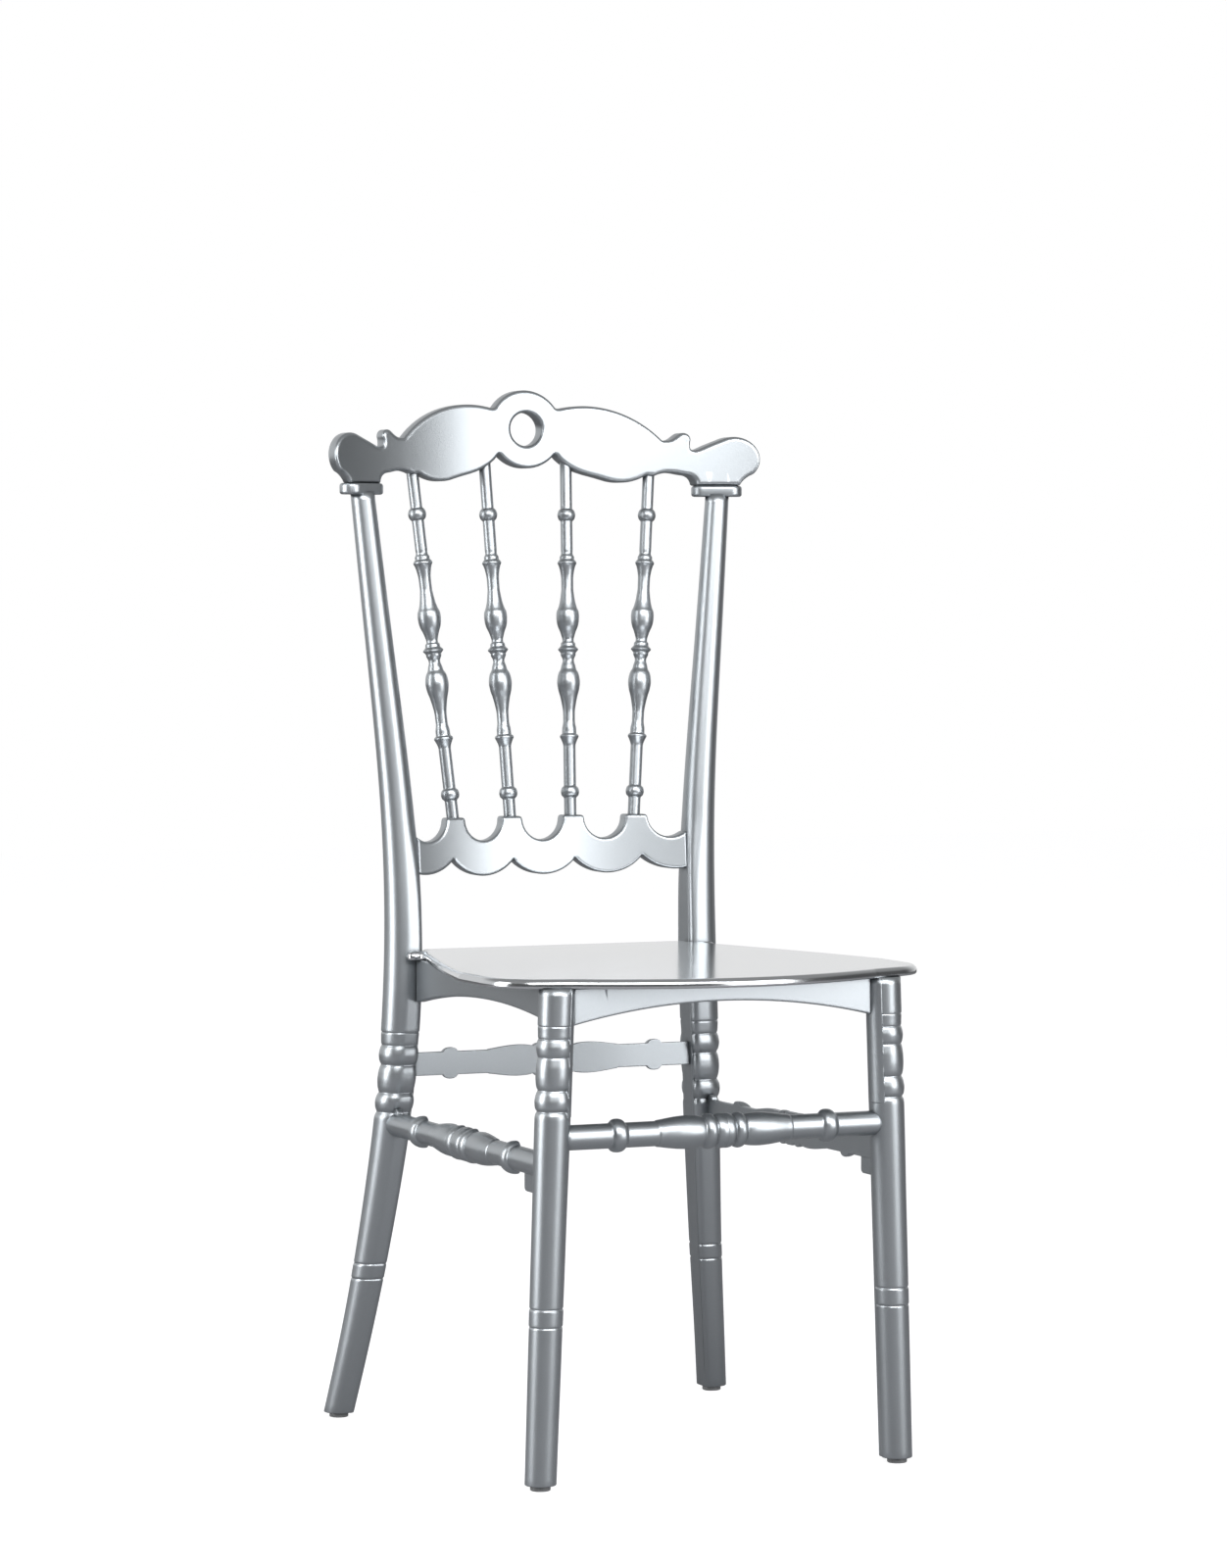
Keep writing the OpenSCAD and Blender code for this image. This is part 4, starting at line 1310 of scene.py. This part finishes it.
@dataclass
class BackPosts:
    """The back posts: leg and upright in one sweep, flat on the inner side below and turned under the seat.

    Each row of the line is a height, x and y of the middle there, and the radius.
    """

    line: tuple[tuple[float, float, float, float], ...] = (
        (4.5, 184.4, 222.4, 13.6), (70, 174.6, 207.6, 14.0), (140, 165.0, 194.4, 14.8),
        (210, 157.0, 182.6, 15.8), (280, 150.3, 173.0, 16.7), (350, 145.8, 167.6, 17.2),
        (420, 143.2, 166.6, 17.0), (540, 146.4, 171.2, 14.7), (700, 160.6, 180.2, 12.2),
        (823, 172.2, 187.3, 10.7),
    )
    flat: float = 0.80
    flat_power: float = 5.0
    flat_to: float = 430.0
    round_from: float = 540.0
    groove_at: float = 40.0
    groove_depth: float = 0.55
    groove_width: float = 1.3
    groove_start: float = 14.0
    foot_edge: float = 0.9
    into_collar: float = 2.0
    fine: Runs = ((124, 146, 0.45), (270, 354, 0.5))
    carving: Stations = (
        (0, 0), (125, 0), (126.6, 0.05), (127.4, 0.5), (127.8, 0.6), (128.2, 0.5), (129, 0), (130.4, -0.15),
        (139, -0.15), (140.4, 0), (141.1, 0.5), (141.5, 0.6), (141.9, 0.5), (142.8, 0.05), (144.5, 0),
        (270, 0), (273, 0.05), (276, 0.7), (277.8, 1.6), (278.6, 1.75), (279.3, 1.35), (283, -0.1),
        (287.2, -0.55), (291, -0.1), (294.4, 1.3), (295.4, 2.0), (296.2, 1.95), (297.2, 1.5), (302, 0.3),
        (308, -0.15), (313, 0.1), (318.6, 1.2), (320.1, 1.9), (320.9, 1.9), (321.8, 1.3), (325, 0.0),
        (329.4, -0.55), (333.5, -0.1), (336.9, 0.9), (337.8, 1.5), (338.5, 1.35), (339.6, 0.9), (344, 0.5),
        (348.7, 0.3), (349.2, 0.75), (349.8, 0.75), (350.4, 0.1), (353, 0), (900, 0),
    )

    def skin(self, low: float, high: float) -> Skin:
        """Level sections along a smooth line.

        A section is a circle on its outer half. Its inner half is |x / (f R)|^p + |y / R|^p = 1, flat at f R,
        and goes over to the plain circle above the seat. The turned grooves come off the outer, front and
        back sides only, and a fine groove parts these from the flat.

        Args:
            low: Height of the foot.
            high: Height of the top.

        Returns:
            The surface of the right post.
        """
        table = np.array(self.line)
        z = levels(low, high, 120, self.fine, self.foot_edge)
        x, y, radius = spline(table[:, 0], table[:, 1:], z).T
        plain = smoothstep(self.flat_to, self.round_from, z)
        share = self.flat + (1 - self.flat) * plain
        power = self.flat_power + (2.0 - self.flat_power) * plain
        line = 180 - self.groove_at, 180 + self.groove_at
        near = np.array([0, 0.6, 1.2, 1.8, 2.6, 3.6, 5.0])
        angle = np.unique(np.round(np.concatenate([
            np.linspace(0, 360, 100, endpoint=False), *(np.concatenate([a - near, a + near]) for a in line),
        ]), 3))
        c, s = np.cos(np.radians(angle)), np.sin(np.radians(angle))
        inner = c < 0
        ellipse = (np.abs(c) / share[:, None]) ** power[:, None] + np.abs(s) ** power[:, None]
        section = radius[:, None] * np.where(inner, ellipse ** (-1 / power[:, None]), 1.0)
        off = np.minimum(np.abs(angle - line[0]), np.abs(angle - line[1]))
        open_side = np.where((angle > line[0]) & (angle < line[1]), 0.0, smoothstep(0.5, 2.4, off))
        section = section - through(self.carving, z)[:, None] * open_side
        groove = self.groove_depth * np.exp(-((off / self.groove_width) ** 2))
        begun = smoothstep(low, low + self.groove_start, z)
        section = section - groove[None] * (1 - plain)[:, None] * begun[:, None]
        section = section - foot_round(z, low, self.foot_edge)[:, None]
        return standing(x, y, z, section, angle)

    def build(self, shop: Workshop) -> None:
        """Makes both posts, from their feet to the collars."""
        low = box_mm("back_post_right")[0][2]
        high = box_mm("collar_right")[0][2] + self.into_collar
        shop.pair("swept_back_post", [self.skin(low, high)], Finish.SILVER, "back_post")


@dataclass
class Collars:
    """The flat collars between posts and crest rail."""

    length: float = 46.0
    width: float = 21.0
    turn: float = 24.5
    edge: float = 2.6
    cut: Cut = Cut(0.7, 0.3, 4.0)

    def build(self, shop: Workshop) -> None:
        """Makes both collars."""
        low, high = box_mm("collar_right")
        centre = (low + high) / 2
        half = (high[2] - low[2]) / 2
        r = self.width / 2
        reach = self.length / 2 - r
        outline = np.vstack([arc((reach, 0), r, -90, 90, 30), arc((-reach, 0), r, 90, 270, 30)])
        c, s = math.cos(math.radians(-self.turn)), math.sin(math.radians(-self.turn))

        def warp(local: Array) -> Array:
            """Turns the plan and lifts it to the collar's middle."""
            u, v, w = local.T
            return centre + np.column_stack([u * c - v * s, u * s + v * c, w])

        loop = softened(outline, self.cut.step, self.cut.blur)
        skin = slab([loop], half, self.edge, self.cut.face_step, warp)
        shop.pair("rounded_collar", [skin], Finish.SILVER, "collar")


@dataclass
class Glides:
    """The four foot glides: a low disc with a rounded rim and a shallow ring turned in its face."""

    sides: int = 56
    stem_r: float = 4.0
    disc_height: float = 4.5

    def one(self, low: Array, high: Array) -> Skin:
        """Disc of revolution from its profile: face, ring, rounded rim, wall, top and stem.

        Args:
            low: Lowest corner of the CAD glide.
            high: Highest corner.

        Returns:
            The surface.
        """
        centre = (low + high) / 2
        r = (high[0] - low[0]) / 2
        top = self.disc_height
        profile = np.array([
            [0.6, 0.25], [r * 0.34, 0.25], [r * 0.42, 0.0], [r - 1.5, 0.0], [r - 0.9, 0.06], [r - 0.4, 0.28],
            [r - 0.1, 0.7], [r, 1.2], [r, top - 0.9], [r - 0.15, top - 0.4], [r - 0.5, top - 0.1],
            [self.stem_r + 0.2, top], [self.stem_r, top + 0.4], [self.stem_r, high[2] - 0.5],
            [self.stem_r - 0.5, high[2]],
        ])
        angle = np.linspace(0, 2 * np.pi, self.sides, endpoint=False)
        rings = np.stack([
            centre[0] + profile[:, :1] * np.cos(angle), centre[1] + profile[:, :1] * np.sin(angle),
            np.broadcast_to(profile[:, 1:], (len(profile), self.sides)),
        ], -1)
        return tube(rings)

    def build(self, shop: Workshop) -> None:
        """Makes the four glides."""
        for row in ("front", "rear"):
            for side in Side:
                node = f"glide_{row}_{side.name.lower()}"
                shop.piece(f"round_{node}", [self.one(*box_mm(node))], Finish.GLIDE, node)


@dataclass
class Underside:
    """Corner blocks, screws and bolts, which keep their CAD shapes."""

    def build(self, shop: Workshop) -> None:
        """Dresses the nodes."""
        for row in ("front", "rear"):
            for side in Side:
                shop.dress(f"corner_block_{row}_{side.name.lower()}", Finish.RESIN)
        shop.dress("seat_screws", Finish.ZINC)
        shop.dress("leg_bolts", Finish.ZINC)


# ---------------------------------------------------------------- studio


def bearing(azimuth: float, elevation: float) -> Vector:
    """Unit direction, in degrees round the chair from its front and above the horizon."""
    a, e = math.radians(azimuth), math.radians(elevation)
    return Vector((math.sin(a) * math.cos(e), -math.cos(a) * math.cos(e), math.sin(e)))


@dataclass
class SoftBox:
    """A large, even light that faces the chair."""

    name: str
    azimuth: float
    elevation: float
    distance: float
    width: float
    height: float
    power: float

    def build(self, aim: Vector) -> None:
        """Hangs the light at its distance and direction from the aim."""
        lamp = bpy.data.lights.new(self.name, "AREA")
        lamp.shape, lamp.size, lamp.size_y, lamp.energy = "RECTANGLE", self.width, self.height, self.power
        made = bpy.data.objects.new(self.name, lamp)
        bpy.context.scene.collection.objects.link(made)
        back = bearing(self.azimuth, self.elevation)
        made.location = aim + back * self.distance
        made.rotation_mode = "QUATERNION"
        made.rotation_quaternion = back.to_track_quat("Z", "Y")


@dataclass
class Studio:
    """White floor, soft lights, a soft surrounding glow and the camera."""

    aim: tuple[float, float, float] = (0.0, 0.0315, 0.4435)
    azimuth: float = -24.03
    elevation: float = 4.04
    distance: float = 4.438
    lens: float = 117.0
    shift: float = 0.0935
    front_glow: float = 0.11
    back_glow: float = 0.92
    ceiling_glow: float = 0.40
    floor_half: float = 9.0
    floor_colour: tuple[float, float, float] = (0.30, 0.30, 0.31)
    floor_glow: float = 0.87
    boxes: tuple[SoftBox, ...] = (
        SoftBox("right_box", 29, 14, 3.0, 1.5, 2.2, 52),
        SoftBox("left_box", -94, 14, 2.8, 1.2, 2.2, 52),
        SoftBox("top_box", -14, 34, 3.4, 3.0, 1.5, 115),
    )

    def camera(self) -> None:
        """Sets the camera at its distance and direction from the aim, with a small upward shift."""
        data = bpy.data.cameras.new("camera")
        data.sensor_width, data.lens, data.shift_y = 36.0, self.lens, self.shift
        data.clip_start, data.clip_end = 0.1, 60.0
        made = bpy.data.objects.new("camera", data)
        bpy.context.scene.collection.objects.link(made)
        back = bearing(self.azimuth, self.elevation)
        made.location = Vector(self.aim) + back * self.distance
        made.rotation_mode = "QUATERNION"
        made.rotation_quaternion = (-back).to_track_quat("-Z", "Y")
        bpy.context.scene.camera = made

    def glow(self) -> None:
        """Surroundings: white where looked at directly, and of three levels for light and reflections.

        The level is mix(mix(front, back, smooth y), ceiling, smooth z): bright behind, dim before the chair.
        """
        world = bpy.data.worlds.new("studio")
        world.use_nodes = True
        world.node_tree.nodes.clear()
        kit = NodeKit(world.node_tree)
        direction = kit.add("ShaderNodeTexCoord").outputs["Generated"]
        way = kit.add("ShaderNodeSeparateXYZ", {0: direction}).outputs
        behind = kit.ranged(way[1], -0.15, 0.75, self.front_glow, self.back_glow, "SMOOTHSTEP")
        above = kit.ranged(way[2], 0.3, 0.7, 0.0, 1.0, "SMOOTHSTEP")
        to_ceiling = kit.math("SUBTRACT", self.ceiling_glow, behind)
        level = kit.math("ADD", behind, kit.math("MULTIPLY", above, to_ceiling))
        seen = kit.add("ShaderNodeLightPath").outputs["Is Camera Ray"]
        level = kit.math("ADD", level, kit.math("MULTIPLY", seen, kit.math("SUBTRACT", 1.0, level)))
        out = kit.add("ShaderNodeBackground", {"Color": (1, 1, 1, 1), "Strength": level}).outputs[0]
        kit.add("ShaderNodeOutputWorld", {"Surface": out})
        bpy.context.scene.world = world

    def floor(self) -> None:
        """Pale floor that keeps only the faintest shadows."""
        half = self.floor_half
        mesh = bpy.data.meshes.new("floor")
        corners = [(-half, -half, 0), (half, -half, 0), (half, half, 0), (-half, half, 0)]
        mesh.from_pydata(corners, [], [(0, 1, 2, 3)])
        made = bpy.data.objects.new("floor", mesh)
        bpy.context.scene.collection.objects.link(made)
        paint, kit = new_material("pale_floor")
        matte = kit.add("ShaderNodeBsdfDiffuse", {"Color": (*self.floor_colour, 1)}).outputs[0]
        glow = kit.add("ShaderNodeEmission", {"Color": (1, 1, 1, 1), "Strength": self.floor_glow}).outputs[0]
        both = kit.add("ShaderNodeAddShader", {0: matte, 1: glow}).outputs[0]
        seen = kit.add("ShaderNodeLightPath").outputs["Is Camera Ray"]
        mixed = kit.add("ShaderNodeMixShader", {0: seen, 1: matte, 2: both}).outputs[0]
        kit.add("ShaderNodeOutputMaterial", {"Surface": mixed})
        mesh.materials.append(paint)

    def build(self) -> None:
        """Sets up floor, glow, lights and camera."""
        self.floor()
        self.glow()
        for box in self.boxes:
            box.build(Vector(self.aim))
        self.camera()
        bpy.context.scene.view_settings.view_transform = "Standard"
        LOG.info("studio: %d soft boxes", len(self.boxes))


def main() -> None:
    """Builds the chair piece by piece, then the studio."""
    logging.basicConfig(level=logging.INFO, format="%(name)s: %(message)s")
    shop = Workshop()
    parts = (
        CrestRail(), BackRail(), Seat(), Aprons(), Spindles(), Stretchers(), FrontLegs(), BackPosts(),
        Collars(), Glides(), Underside(),
    )
    for part in parts:
        part.build(shop)
    Studio().build()


if __name__ == "__main__":
    main()
